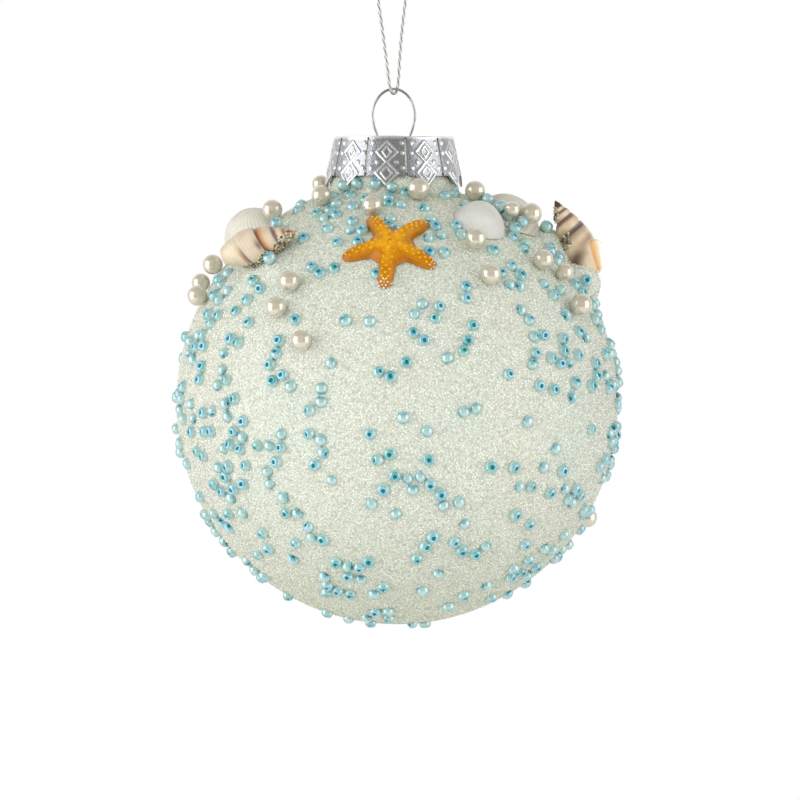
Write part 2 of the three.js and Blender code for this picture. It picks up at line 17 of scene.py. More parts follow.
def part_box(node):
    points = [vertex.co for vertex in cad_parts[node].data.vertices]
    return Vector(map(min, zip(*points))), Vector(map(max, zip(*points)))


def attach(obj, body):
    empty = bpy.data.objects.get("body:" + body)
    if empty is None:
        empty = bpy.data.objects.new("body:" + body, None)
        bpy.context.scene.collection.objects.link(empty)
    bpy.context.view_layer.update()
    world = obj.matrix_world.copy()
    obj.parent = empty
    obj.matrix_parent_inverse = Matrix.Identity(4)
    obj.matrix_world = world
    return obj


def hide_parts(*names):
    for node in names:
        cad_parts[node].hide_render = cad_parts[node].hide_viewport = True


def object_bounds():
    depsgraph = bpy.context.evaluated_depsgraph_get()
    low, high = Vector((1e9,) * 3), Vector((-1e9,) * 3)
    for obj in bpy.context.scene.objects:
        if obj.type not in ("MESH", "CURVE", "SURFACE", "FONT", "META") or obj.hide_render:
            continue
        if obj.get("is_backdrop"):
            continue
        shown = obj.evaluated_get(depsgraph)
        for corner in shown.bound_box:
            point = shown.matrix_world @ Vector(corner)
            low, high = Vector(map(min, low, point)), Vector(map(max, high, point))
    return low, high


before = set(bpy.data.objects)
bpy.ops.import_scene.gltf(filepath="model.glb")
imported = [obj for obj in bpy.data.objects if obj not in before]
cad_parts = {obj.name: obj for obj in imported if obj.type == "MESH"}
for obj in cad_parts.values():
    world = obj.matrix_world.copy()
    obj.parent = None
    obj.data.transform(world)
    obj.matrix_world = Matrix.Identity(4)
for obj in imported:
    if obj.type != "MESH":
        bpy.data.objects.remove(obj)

log = logging.getLogger("bauble")

# Middle of the ball in the part's frame, and the ball's own sizes, in millimetres
BALL_CENTRE = Vector((0.75, 0.0, -97.538))
BALL_RADIUS = 50.0
BALL_WALL = 1.2
NECK_OFFSET = -0.75
# Heights over which the ball's rings move over to the neck's axis
LEAN_START, LEAN_HEIGHT = 40.0, 8.0
GAP = 0.3
MM = 0.001

Points = list[Vector]
Faces = list[tuple[int, ...]]
Profile = list[tuple[float, float]]
Tree = bpy.types.NodeTree
Node = bpy.types.Node
Socket = bpy.types.NodeSocket


# Colours and nodes


def linear(colour: str) -> tuple[float, float, float, float]:
    """Turn an sRGB hex colour into the linear values that shaders take.

    Args:
        colour: hex colour such as "#d2dac8".

    Returns:
        Red, green, blue and alpha, linear.
    """
    parts = [int(colour[i : i + 2], 16) / 255 for i in (1, 3, 5)]
    red, green, blue = (
        part / 12.92 if part <= 0.04045 else ((part + 0.055) / 1.055) ** 2.4 for part in parts
    )
    return red, green, blue, 1.0


def add_node(tree: Tree, kind: str, settings: dict | None = None, **inputs: Any) -> Node:
    """Add one node with its settings, values and links.

    Args:
        tree: tree the node goes into.
        kind: node type, such as "ShaderNodeMix".
        settings: attributes of the node, set before its inputs.
        **inputs: sockets by identifier, with a value or an output socket to link.

    Returns:
        The node.
    """
    node = tree.nodes.new(kind)
    for name, value in (settings or {}).items():
        setattr(node, name, value)
    for name, value in inputs.items():
        socket = next(s for s in node.inputs if s.identifier.replace(" ", "_") == name)
        if isinstance(value, Socket):
            tree.links.new(value, socket)
        else:
            socket.default_value = value
    return node


@dataclass(frozen=True)
class Finish:
    """A finish: the shader's plain values, and the colours that vary over the surface.

    Attributes:
        title: name of the real material and how it was made.
        slot: material slot of the record; not used.
        roughness: roughness, the same all over.
        metallic: 1 for metals.
        ior: index of refraction, left alone on metals.
        coat: weight of a clear gloss coat.
        coat_ior: its index of refraction, higher for pearly lacquers and lustres.
        coat_roughness: its roughness.
        scatter: weight of light scattered under the surface.
    """

    title: str
    slot: str
    roughness: float = 0.4
    metallic: float = 0.0
    ior: float = 1.5
    coat: float = 0.0
    coat_ior: float = 1.5
    coat_roughness: float = 0.07
    scatter: float = 0.0

    def colour(self, tree: Tree, shader: Node) -> Socket:
        """Give the base colour's socket, and link what else varies; each finish has its own."""
        raise NotImplementedError

    def material(self) -> bpy.types.Material:
        """Make the material once and reuse it."""
        found = bpy.data.materials.get(self.title)
        if found:
            return found
        made = bpy.data.materials.new(self.title)
        made.use_nodes = True
        tree = made.node_tree
        tree.nodes.clear()
        shader = add_node(
            tree,
            "ShaderNodeBsdfPrincipled",
            Roughness=self.roughness,
            Metallic=self.metallic,
            Coat_Weight=self.coat,
            Coat_Roughness=self.coat_roughness,
            Coat_IOR=self.coat_ior,
        )
        if not self.metallic:
            shader.inputs["IOR"].default_value = self.ior
        if self.scatter:
            shader.inputs["Subsurface Weight"].default_value = self.scatter
            shader.inputs["Subsurface Radius"].default_value = (1.0, 0.6, 0.3)
            shader.inputs["Subsurface Scale"].default_value = 1.2 * MM
        add_node(tree, "ShaderNodeOutputMaterial", Surface=shader.outputs["BSDF"])
        tree.links.new(self.colour(tree, shader), shader.inputs["Base Color"])
        return made


def ramp(tree: Tree, factor: Socket, stops: Sequence[tuple[float, str]]) -> Socket:
    """Blend colours along a factor.

    Args:
        tree: tree the ramp goes into.
        factor: value from 0 to 1.
        stops: place and sRGB hex colour of each stop.

    Returns:
        The colour's output socket.
    """
    node = add_node(tree, "ShaderNodeValToRGB", Fac=factor)
    elements = node.color_ramp.elements
    for place, colour in stops[2:]:
        elements.new(place)
    for element, (place, colour) in zip(elements, stops):
        element.position, element.color = place, linear(colour)
    return node.outputs["Color"]


def blended(tree: Tree, factor: Any, first: Any, second: Any, blend: str = "MIX") -> Socket:
    """Mix two colours by a factor, each a hex colour or a socket.

    Args:
        tree: tree the mix goes into.
        factor: number or socket.
        first: colour where the factor is 0.
        second: colour where the factor is 1.
        blend: blend type.

    Returns:
        The mixed colour's output socket.
    """
    colours = [linear(c) if isinstance(c, str) else c for c in (first, second)]
    node = add_node(
        tree,
        "ShaderNodeMix",
        {"data_type": "RGBA", "blend_type": blend},
        Factor_Float=factor,
        A_Color=colours[0],
        B_Color=colours[1],
    )
    return next(s for s in node.outputs if s.identifier == "Result_Color")


def noise(
    tree: Tree, size: float, detail: float = 2.0, low: float = 0.3, high: float = 0.7
) -> Socket:
    """Cloudy pattern on Object coordinates, stretched to run from 0 to 1.

    Args:
        tree: tree the nodes go into.
        size: size of one patch, in millimetres.
        detail: octaves of finer detail.
        low: noise value that becomes 0.
        high: noise value that becomes 1.

    Returns:
        The value's output socket.
    """
    place = add_node(tree, "ShaderNodeTexCoord").outputs["Object"]
    cloud = add_node(
        tree, "ShaderNodeTexNoise", Vector=place, Scale=1 / (size * MM), Detail=detail
    )
    spread = add_node(
        tree, "ShaderNodeMapRange", Value=cloud.outputs[0], From_Min=low, From_Max=high
    )
    return spread.outputs[0]


def attribute(tree: Tree, name: str) -> Socket:
    """Read one of a piece's own number attributes."""
    node = add_node(tree, "ShaderNodeAttribute", {"attribute_name": name})
    return node.outputs["Fac"]


def far_from_middle(tree: Tree) -> Socket:
    """Value that grows from 0 at the ball's middle height to 1 at its top and bottom."""
    place = add_node(tree, "ShaderNodeTexCoord").outputs["Object"]
    height = add_node(tree, "ShaderNodeSeparateXYZ", Vector=place).outputs["Z"]
    off = add_node(
        tree, "ShaderNodeMath", {"operation": "SUBTRACT"}, Value=height,
        Value_001=BALL_CENTRE.z * MM,
    )
    away = add_node(tree, "ShaderNodeMath", {"operation": "ABSOLUTE"}, Value=off.outputs[0])
    spread = add_node(
        tree, "ShaderNodeMapRange", Value=away.outputs[0], From_Min=20 * MM, From_Max=48 * MM
    )
    return spread.outputs[0]


def bump(tree: Tree, shader: Node, height: Socket, depth: float) -> None:
    """Raise the surface by a height from 0 to 1, with its depth in millimetres."""
    node = add_node(tree, "ShaderNodeBump", Height=height, Distance=depth * MM, Strength=1.0)
    tree.links.new(node.outputs["Normal"], shader.inputs["Normal"])


# Finishes


@dataclass(frozen=True)
class MicrobeadGlass(Finish):
    """Clear glass microbeads: each one pale, a few dim or olive, so the coat sparkles."""

    def colour(self, tree: Tree, shader: Node) -> Socket:
        """Colour each bead by its own tone, and the coat by wide mint and cream patches, turning
        darker and more olive towards its top and bottom as painted shade.
        """
        beads = ramp(
            tree,
            attribute(tree, "tone"),
            [(0.0, "#afb0a6"), (0.2, "#d2d4cb"), (0.6, "#e8e8e1"), (0.93, "#f9f8f2"),
             (0.97, "#d8cfa4")],
        )
        mint = noise(tree, 26.0, 2.0, 0.38, 0.62)
        patch = blended(tree, mint, "#e0f1ec", "#f6f2e8")
        # Painted shade: the coat darkens to olive towards its top and bottom.
        tint = blended(tree, far_from_middle(tree), patch, "#dde6c8")
        return blended(tree, 0.6, beads, tint, "MULTIPLY")


@dataclass(frozen=True)
class StainedBeads(Finish):
    """Microbeads in thick glue: bronze and olive, with a few clear or golden ones."""

    def colour(self, tree: Tree, shader: Node) -> Socket:
        """Colour each bead by its own tone."""
        return ramp(
            tree,
            attribute(tree, "tone"),
            [(0.0, "#4c4333"), (0.3, "#83765a"), (0.6, "#aca588"), (0.88, "#d8d8c8"),
             (1.0, "#c3a04c")],
        )


@dataclass(frozen=True)
class CloudedFinish(Finish):
    """A finish whose colour drifts into another in soft clouds.

    Attributes:
        deep: colour of the deeper clouds.
        pale: colour of the paler ones.
        cloud: size of one cloud, in millimetres.
        detail: octaves of finer detail.
        relief: how far the paler clouds stand proud, in millimetres.
    """

    deep: str = "#000000"
    pale: str = "#ffffff"
    cloud: float = 1.0
    detail: float = 2.0
    relief: float = 0.0

    def colour(self, tree: Tree, shader: Node) -> Socket:
        """Blend the two colours by the clouds."""
        clouds = noise(tree, self.cloud, self.detail)
        if self.relief:
            bump(tree, shader, clouds, self.relief)
        return blended(tree, clouds, self.deep, self.pale)


@dataclass(frozen=True)
class CeylonGlass(Finish):
    """Pearl-lined turquoise seed bead glass, a little different from bead to bead."""

    def colour(self, tree: Tree, shader: Node) -> Socket:
        """Colour each bead by its tone, paler at its rim, and its bore a dark teal, the glass
        deepened as painted shade in the hole.
        """
        glass = ramp(
            tree,
            attribute(tree, "tone"),
            [(0.0, "#1f9aa0"), (0.25, "#3da4ae"), (0.55, "#4aa8ba"), (0.85, "#6cb2c4"),
             (1.0, "#3faaa2")],
        )
        rimmed = blended(tree, attribute(tree, "edge"), glass, "#a6c6bf")
        pearly = blended(tree, noise(tree, 0.9, 1.0, 0.4, 1.3), rimmed, "#bcd3d3")
        bore = attribute(tree, "bore")
        outside = add_node(
            tree, "ShaderNodeMath", {"operation": "SUBTRACT"}, Value=1.0, Value_001=bore
        )
        tree.links.new(outside.outputs[0], shader.inputs["Coat Weight"])
        # The bore and its plug are painted dark teal: the glass's colour deepened as painted shade
        # in the hole.
        return blended(tree, bore, pearly, "#007f8b")


@dataclass(frozen=True)
class PressedSheet(Finish):
    """Bright pressed sheet: polished raised lines on a speckled grey ground."""

    def colour(self, tree: Tree, shader: Node) -> Socket:
        """Darken and speckle the ground between the raised lines; the top's rolled edge takes the
        lines' near white as a painted highlight.
        """
        speck = noise(tree, 0.3, 2.0, 0.3, 0.7)
        bump(tree, shader, speck, 0.025)
        ground = blended(tree, speck, "#9c9fa7", "#cbcdd1")
        return blended(tree, attribute(tree, "raised"), ground, "#fbfbf8")


@dataclass(frozen=True)
class SilverThread(Finish):
    """Metallic silver thread, bright on its plies and dark in the furrows between them."""

    def colour(self, tree: Tree, shader: Node) -> Socket:
        """Shade the furrows between the twisted plies and add the glint of single filaments."""
        ply = blended(tree, noise(tree, 0.3, 1.0), "#dad9d5", "#fbfaf6")
        return blended(tree, attribute(tree, "furrow"), ply, "#858380")


@dataclass(frozen=True)
class CastResin(Finish):
    """Clear orange cast resin, painted with light and shade by its height: a painted highlight
    along its top and raised rows, painted shade deepening the amber on its flanks, and painted
    light through its thin foot.
    """

    def colour(self, tree: Tree, shader: Node) -> Socket:
        """Deepen the amber towards the flanks as painted shade, brighten the top and grains as a
        painted highlight, lighten the thin foot as painted light, and cloud it inside.
        """
        # Painted light by height: shade on the flanks, a highlight on top, light through the foot.
        body = ramp(
            tree,
            attribute(tree, "rise"),
            [(0.0, "#c47e00"), (0.35, "#ae6a00"), (0.8, "#bf8100"), (1.0, "#e9aa10")],
        )
        cloudy = blended(tree, noise(tree, 1.6, 2.0), body, "#a65a00")
        return blended(tree, 0.5, body, cloudy)


@dataclass(frozen=True)
class BandedShell(Finish):
    """Polished whelk shell: cream with brown bands along its sutures.

    Attributes:
        cream: colour of the plain shell.
        blush: colour that clouds it.
        band: colour of the bands' dark middle.
        edge: colour of the bands' warm edge.
    """

    cream: str = "#d3c5aa"
    blush: str = "#c9b7a0"
    band: str = "#7a5560"
    edge: str = "#b0733a"

    def colour(self, tree: Tree, shader: Node) -> Socket:
        """Lay bands, with painted shade in the sutures' grooves, a warm mouth and a white lip over
        the clouded shell.
        """
        bump(tree, shader, noise(tree, 0.35, 2.0), 0.05)
        plain = blended(tree, noise(tree, 3.0, 2.0), self.cream, self.blush)
        warm = blended(tree, attribute(tree, "warm"), plain, self.edge)
        banded = blended(tree, attribute(tree, "band"), warm, self.band)
        mouth = blended(tree, attribute(tree, "mouth"), banded, "#d6a552")
        return blended(tree, attribute(tree, "lip"), mouth, "#f6f2ea")


@dataclass(frozen=True)
class PaleShell(Finish):
    """Pale valve shell, darker in the troughs of its ribs or growth lines.

    Attributes:
        pale: colour of the raised shell.
        furrow: colour in the furrows.
        bloom: colour of its paler clouds.
    """

    pale: str = "#bfbfb8"
    furrow: str = "#b9b4a8"
    bloom: str = "#d0d0ca"

    def colour(self, tree: Tree, shader: Node) -> Socket:
        """Darken the troughs of the relief and cloud the shell."""
        bump(tree, shader, noise(tree, 0.5, 2.0), 0.03)
        cloud = blended(tree, noise(tree, 4.0, 2.0), self.pale, self.bloom)
        return blended(tree, attribute(tree, "furrow"), cloud, self.furrow)


class Finishes(Enum):
    """The finishes of the bauble."""

    MICROBEADS = MicrobeadGlass("Glass microbeads, glued", "coat", 0.3, ior=1.5)
    STAINED = StainedBeads("Glass microbeads, stained by resin glue", "coat", 0.3)
    # Pale mint paint and glue, darkened as painted shade between the microbeads, where it shows as
    # dim dots
    GLUE_GROUND_AND_SHADE = CloudedFinish(
        "Mint glue ground, brushed on", "coat", 0.6,
        deep="#adb1a5", pale="#cfd3c6", cloud=0.55, detail=1.0, relief=0.06,
    )
    # Silver-green where light comes through the coat, with the faint waves of blowing
    BLOWN = CloudedFinish(
        "Soda glass, blown", "coat", 0.08, ior=1.52,
        deep="#c3d0c4", pale="#cdd8cc", cloud=18.0, detail=1.0,
    )
    SEED = CeylonGlass(
        "Seed bead glass, pearl lined", "coat", 0.14, metallic=0.15, coat=1.0, coat_ior=2.4
    )
    CAP = PressedSheet("Aluminium sheet, pressed", "cap_metal", 0.24, metallic=1.0)
    # Bright steel with the faint marks of drawing
    WIRE = CloudedFinish(
        "Steel wire, drawn", "wire", 0.16, metallic=1.0,
        deep="#a3a5a8", pale="#d3d4d6", cloud=1.5, detail=3.0,
    )
    THREAD = SilverThread("Metallic polyester thread, twisted", "cord", 0.38, metallic=0.75)
    RESIN = CastResin("Polyester resin, cast", "resin", 0.08, ior=1.35)
    WHELK_LEFT = BandedShell("Whelk shell, polished", "whelk", 0.28, coat=0.3, band="#57343c")
    WHELK_RIGHT = BandedShell(
        "Dark whelk shell, polished", "whelk", 0.28, coat=0.3,
        cream="#dfd0b2", blush="#c8ab8b", band="#432c30", edge="#7c4838",
    )
    SMOOTH_VALVE = PaleShell("Smooth valve shell, washed", "valve", 0.36)
    CLAM_VALVE = PaleShell(
        "Clam valve shell, washed", "valve", 0.42, pale="#c5beaa", furrow="#94846f"
    )
    RIBBED_VALVE = PaleShell(
        "Ribbed valve shell, washed", "valve", 0.45, pale="#dedbcf", furrow="#cdc6b0"
    )
    # Cream lacquer with a pearly gloss and a faint cloud
    PEARL = CloudedFinish(
        "Plastic pearl, lacquered", "pearl", 0.26, metallic=0.45, coat=1.0, coat_ior=2.7,
        coat_roughness=0.14, deep="#c9bfa6", pale="#d5ccb6", cloud=2.5,
    )
    # Plain pale paper with its faint tooth
    PAPER = CloudedFinish("Studio paper, matt", "", 0.9, deep="#efefed", pale="#f3f3f1", cloud=3.0)


# Making pieces


def make_object(
    name: str, points: Points, faces: Faces, attributes: dict[str, list[float]] | None = None
) -> bpy.types.Object:
    """Make a smooth mesh object from points around the middle of the ball.

    Args:
        name: object name.
        points: points in millimetres, from the middle of the ball.
        faces: point numbers of each face, turning outwards.
        attributes: number attributes, one value for each point.

    Returns:
        The object, at the origin, with its place in its mesh.
    """
    mesh = bpy.data.meshes.new(name)
    mesh.from_pydata([(p + BALL_CENTRE) * MM for p in points], [], faces)
    for title, values in (attributes or {}).items():
        layer = mesh.attributes.new(title, "FLOAT", "POINT")
        layer.data.foreach_set("value", values)
    mesh.shade_smooth()
    made = bpy.data.objects.new(name, mesh)
    bpy.context.scene.collection.objects.link(made)
    return made


def hand_over(made: bpy.types.Object, finish: Finish, *nodes: str) -> bpy.types.Object:
    """Dress a piece, let it ride on the bauble and stand for its CAD nodes.

    Args:
        made: the piece.
        finish: its finish.
        *nodes: CAD nodes that it replaces.

    Returns:
        The piece.
    """
    if not made.data.materials:
        made.data.materials.append(finish.material())
    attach(made, "root")
    if nodes:
        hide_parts(*nodes)
    log.info("%s: %d faces", made.name, len(made.data.polygons))
    return made


def outward(azimuth: float, elevation: float) -> Vector:
    """Unit vector out of the ball at an azimuth, from the front to the right, and elevation."""
    a, e = math.radians(azimuth), math.radians(elevation)
    return Vector((math.sin(a) * math.cos(e), -math.cos(a) * math.cos(e), math.sin(e)))


def seat(azimuth: float, elevation: float, lift: float = 0.0) -> Matrix:
    """Matrix whose x runs east, y north and z out of the ball.

    Args:
        azimuth: degrees from the front to the right.
        elevation: degrees above the middle.
        lift: millimetres above the coat.

    Returns:
        The matrix, in millimetres from the middle of the ball.
    """
    out = outward(azimuth, elevation)
    a = math.radians(azimuth)
    east = Vector((math.cos(a), math.sin(a), 0.0))
    matrix = Matrix((east, out.cross(east), out)).transposed().to_4x4()
    matrix.translation = out * (BALL_RADIUS + lift)
    return matrix


def circle(radius: float, height: float, count: int) -> Points:
    """Points of a level circle around the z axis."""
    turns = (2 * math.pi * i / count for i in range(count))
    return [Vector((radius * math.cos(a), radius * math.sin(a), height)) for a in turns]


def coat_drop(x: float, y: float) -> float:
    """How far the coat falls away below a seat's plane."""
    return BALL_RADIUS - math.sqrt(max(BALL_RADIUS**2 - x * x - y * y, 0.0))


def ring_faces(count: int, rings: int, first: bool = True, closed: bool = False) -> Faces:
    """Faces that join rings of points.

    Args:
        count: points in each ring.
        rings: number of rings.
        first: whether a single point comes before the rings and one after them.
        closed: whether the last ring joins the first.

    Returns:
        The faces, for points that go first point, rings, last point.
    """
    start = 1 if first else 0
    faces: Faces = []
    for k in range(rings if closed else rings - 1):
        low, high = start + k * count, start + (k + 1) % rings * count
        for i in range(count):
            j = (i + 1) % count
            faces.append((low + i, high + i, high + j, low + j))
    if first:
        end = 1 + rings * count
        top = end - count
        for i in range(count):
            j = (i + 1) % count
            faces.append((0, 1 + i, 1 + j))
            faces.append((end, top + j, top + i))
    return faces


def smooth_route(points: Points, steps: int) -> Points:
    """Centripetal curve through points, as the part's source draws it.

    Args:
        points: points it passes through.
        steps: steps between two points.

    Returns:
        The points along the curve.
    """
    padded = [points[0] * 2 - points[1], *points, points[-1] * 2 - points[-2]]
    route: Points = []
    for p0, p1, p2, p3 in zip(padded, padded[1:], padded[2:], padded[3:]):
        t1 = (p1 - p0).length ** 0.5
        t2 = t1 + (p2 - p1).length ** 0.5
        t3 = t2 + (p3 - p2).length ** 0.5
        for i in range(steps):
            t = t1 + (t2 - t1) * i / steps
            a1 = p0 * ((t1 - t) / t1) + p1 * (t / t1)
            a2 = p1 * ((t2 - t) / (t2 - t1)) + p2 * ((t - t1) / (t2 - t1))
            a3 = p2 * ((t3 - t) / (t3 - t2)) + p3 * ((t - t2) / (t3 - t2))
            b1 = a1 * ((t2 - t) / t2) + a2 * (t / t2)
            b2 = a2 * ((t3 - t) / (t3 - t1)) + a3 * ((t - t1) / (t3 - t1))
            route.append(b1 * ((t2 - t) / (t2 - t1)) + b2 * ((t - t1) / (t2 - t1)))
    return [*route, points[-1].copy()]


def swept(
    route: Points, sides: int, radius: Callable[[float, float], float], loop: bool = False
) -> tuple[Points, Faces, list[tuple[float, float]]]:
    """Sweep a round section along a route without twisting it.

    Args:
        route: points in millimetres.
        sides: points around the section.
        radius: radius from the distance along, in millimetres, and the turn, in radians.
        loop: whether the route closes on itself.

    Returns:
        Points, faces, and the distance and turn of each point.
    """
    points: Points = []
    places: list[tuple[float, float]] = []
    count = len(route)
    across: Vector | None = None
    distance = 0.0
    for k, point in enumerate(route):
        before = route[k - 1] if loop or k else point
        after = route[(k + 1) % count] if loop or k < count - 1 else point
        along = (after - before).normalized()
        if across is None:
            across = along.orthogonal().normalized()
        across = (across - along * across.dot(along)).normalized()
        beside = along.cross(across)
        if k:
            distance += (point - route[k - 1]).length
        for i in range(sides):
            turn = 2 * math.pi * i / sides
            reach = radius(distance, turn)
            points.append(point + (across * math.cos(turn) + beside * math.sin(turn)) * reach)
            places.append((distance, turn))
    if loop:
        faces = ring_faces(sides, count, first=False, closed=True)
    else:
        points = [route[0], *points, route[-1]]
        places = [places[0], *places, places[-1]]
        faces = ring_faces(sides, count)
    return points, [face[::-1] for face in faces], places


# Geometry Nodes


def start_tree(title: str, **inputs: str) -> tuple[Tree, Any]:
    """Start a tree with its named inputs and its one output.

    Args:
        title: name of the tree.
        **inputs: kind of each input by its name.

    Returns:
        The tree, and its inputs' sockets.
    """
    tree = bpy.data.node_groups.new(title, "GeometryNodeTree")
    for name, kind in inputs.items():
        tree.interface.new_socket(name=name, in_out="INPUT", socket_type=f"NodeSocket{kind}")
    tree.interface.new_socket(name="Geometry", in_out="OUTPUT", socket_type="NodeSocketGeometry")
    return tree, add_node(tree, "NodeGroupInput").outputs


def end_tree(tree: Tree, copies: Socket, finish: Socket) -> Tree:
    """Make the copies real, dress them and give them out."""
    solid = add_node(tree, "GeometryNodeRealizeInstances", Geometry=copies)
    dressed = add_node(
        tree, "GeometryNodeSetMaterial", Geometry=solid.outputs[0], Material=finish
    )
    tree.links.new(dressed.outputs[0], tree.nodes.new("NodeGroupOutput").inputs[0])
    return tree


def scatter_tree() -> Tree:
    """Tree that sets a copy of one small shape on every point of a mesh.

    Each point carries its own turn, size and tone; the tone stays on the copy.
    """
    tree, given = start_tree(
        "Set out small shapes", Geometry="Geometry", Shape="Object", Size="Float",
        Finish="Material",
    )
    shape = add_node(tree, "GeometryNodeObjectInfo", Object=given["Shape"])
    read = {
        name: add_node(tree, "GeometryNodeInputNamedAttribute", {"data_type": kind}, Name=name)
        for name, kind in (("aim", "FLOAT_VECTOR"), ("size", "FLOAT"), ("tone", "FLOAT"))
    }
    size = add_node(
        tree, "ShaderNodeMath", {"operation": "MULTIPLY"}, Value=given["Size"],
        Value_001=read["size"].outputs[0],
    )
    turn = add_node(tree, "FunctionNodeEulerToRotation", Euler=read["aim"].outputs[0])
    copies = add_node(
        tree, "GeometryNodeInstanceOnPoints", Points=given["Geometry"],
        Instance=shape.outputs["Geometry"], Rotation=turn.outputs[0], Scale=size.outputs[0],
    )
    return end_tree(tree, copies.outputs[0], given["Finish"])


def microbead_tree() -> Tree:
    """Tree that packs microbeads over a surface, each with a tone of its own."""
    tree, given = start_tree(
        "Pack microbeads", Geometry="Geometry", Bead="Object", Spacing="Float", Density="Float",
        Seed="Int", Finish="Material",
    )
    bead = add_node(tree, "GeometryNodeObjectInfo", Object=given["Bead"])
    spread = add_node(
        tree, "GeometryNodeDistributePointsOnFaces", {"distribute_method": "POISSON"},
        Mesh=given["Geometry"], Distance_Min=given["Spacing"], Density_Max=given["Density"],
        Seed=given["Seed"],
    )
    size = add_node(
        tree, "FunctionNodeRandomValue", {"data_type": "FLOAT"}, Min_001=0.85, Max_001=1.12,
        Seed=given["Seed"],
    )
    copies = add_node(
        tree, "GeometryNodeInstanceOnPoints", Points=spread.outputs["Points"],
        Instance=bead.outputs["Geometry"], Rotation=spread.outputs["Rotation"],
        Scale=next(s for s in size.outputs if s.identifier == "Value_001"),
    )
    tone = add_node(
        tree, "FunctionNodeRandomValue", {"data_type": "FLOAT"}, Min_001=0.0, Max_001=1.0, Seed=7
    )
    toned = add_node(
        tree, "GeometryNodeStoreNamedAttribute", {"data_type": "FLOAT", "domain": "INSTANCE"},
        Geometry=copies.outputs[0], Name="tone",
        Value=next(s for s in tone.outputs if s.identifier == "Value_001"),
    )
    return end_tree(tree, toned.outputs[0], given["Finish"])


def grown(
    source: bpy.types.Object, tree: Tree, name: str, values: dict[str, Any]
) -> bpy.types.Object:
    """Run a tree on a source object and keep the result as a plain mesh.

    Args:
        source: object the tree starts from, taken away afterwards.
        tree: the tree.
        name: name of the piece.
        values: the tree's inputs by name.

    Returns:
        The piece, at the origin.
    """
    modifier = source.modifiers.new("grow", "NODES")
    modifier.node_group = tree
    for item in tree.interface.items_tree:
        if item.in_out == "INPUT" and item.name in values:
            modifier[item.identifier] = values[item.name]
    graph = bpy.context.evaluated_depsgraph_get()
    graph.update()
    mesh = bpy.data.meshes.new_from_object(source.evaluated_get(graph))
    mesh.name = name
    mesh.shade_smooth()
    made = bpy.data.objects.new(name, mesh)
    bpy.context.scene.collection.objects.link(made)
    old = source.data
    source.modifiers.remove(modifier)
    bpy.data.objects.remove(source)
    bpy.data.meshes.remove(old)
    return made


@dataclass
class SetOut:
    """Copies of one small shape, set out as one piece.

    Attributes:
        places: place of each copy, in millimetres from the middle of the ball.
        aims: turns of every copy, three numbers each.
        sizes: size of each copy.
        tones: tone of each copy, from 0 to 1.
    """

    places: Points = field(default_factory=list)
    aims: list[float] = field(default_factory=list)
    sizes: list[float] = field(default_factory=list)
    tones: list[float] = field(default_factory=list)

    def build(
        self, name: str, finish: Finish, node: str, points: Points, faces: Faces,
        **marks: list[float],
    ) -> bpy.types.Object:
        """Set a copy of the shape on every place.

        Args:
            name: name of the piece.
            finish: its finish.
            node: CAD node that it belongs to.
            points: points of the shape around its own middle.
            faces: its faces.
            **marks: number attributes of the shape, one value for each point.

        Returns:
            The piece.
        """
        source = make_object(f"{name}_places", self.places, [])
        for title, kind, slot, values in (
            ("aim", "FLOAT_VECTOR", "vector", self.aims), ("size", "FLOAT", "value", self.sizes),
            ("tone", "FLOAT", "value", self.tones),
        ):
            layer = source.data.attributes.new(title, kind, "POINT")
            layer.data.foreach_set(slot, values)
        shape = make_object(f"{name}_shape", [p - BALL_CENTRE for p in points], faces, marks)
        made = grown(source, scatter_tree(), name, {
            "Shape": shape, "Size": 1.0, "Finish": finish.material()})
        bpy.data.objects.remove(shape)
        return hand_over(made, finish, node)


# Microbead coat, glass and seed beads


@dataclass(frozen=True)
class Drift:
    """Seed beads that drifted together: where they are thick, their spread and their number."""

    azimuth: float
    elevation: float
    spread_azimuth: float
    spread_elevation: float
    count: int


@dataclass(frozen=True)
class KeepOut:
    """A place that the seed beads leave free, with its radius in millimetres."""

    azimuth: float
    elevation: float
    radius: float


@dataclass(frozen=True)
class Mound:
    """A mound of coat that beds a shell or pearl."""

    azimuth: float
    elevation: float
    radius: float
    rise: float


class SeededNumbers:
    """Numbers from 0 to 1, the same on every run and the same as the part's source draws."""

    FACTOR = 16807
    LIMIT = 2147483647

    def __init__(self, seed: int) -> None:
        """Start the row of numbers."""
        self.state = seed

    def next(self) -> float:
        """Draw one number."""
        self.state = self.state * self.FACTOR % self.LIMIT
        return self.state / self.LIMIT

    def spread(self) -> float:
        """Draw one number from -1 to 1, most often near 0."""
        return self.next() + self.next() - 1


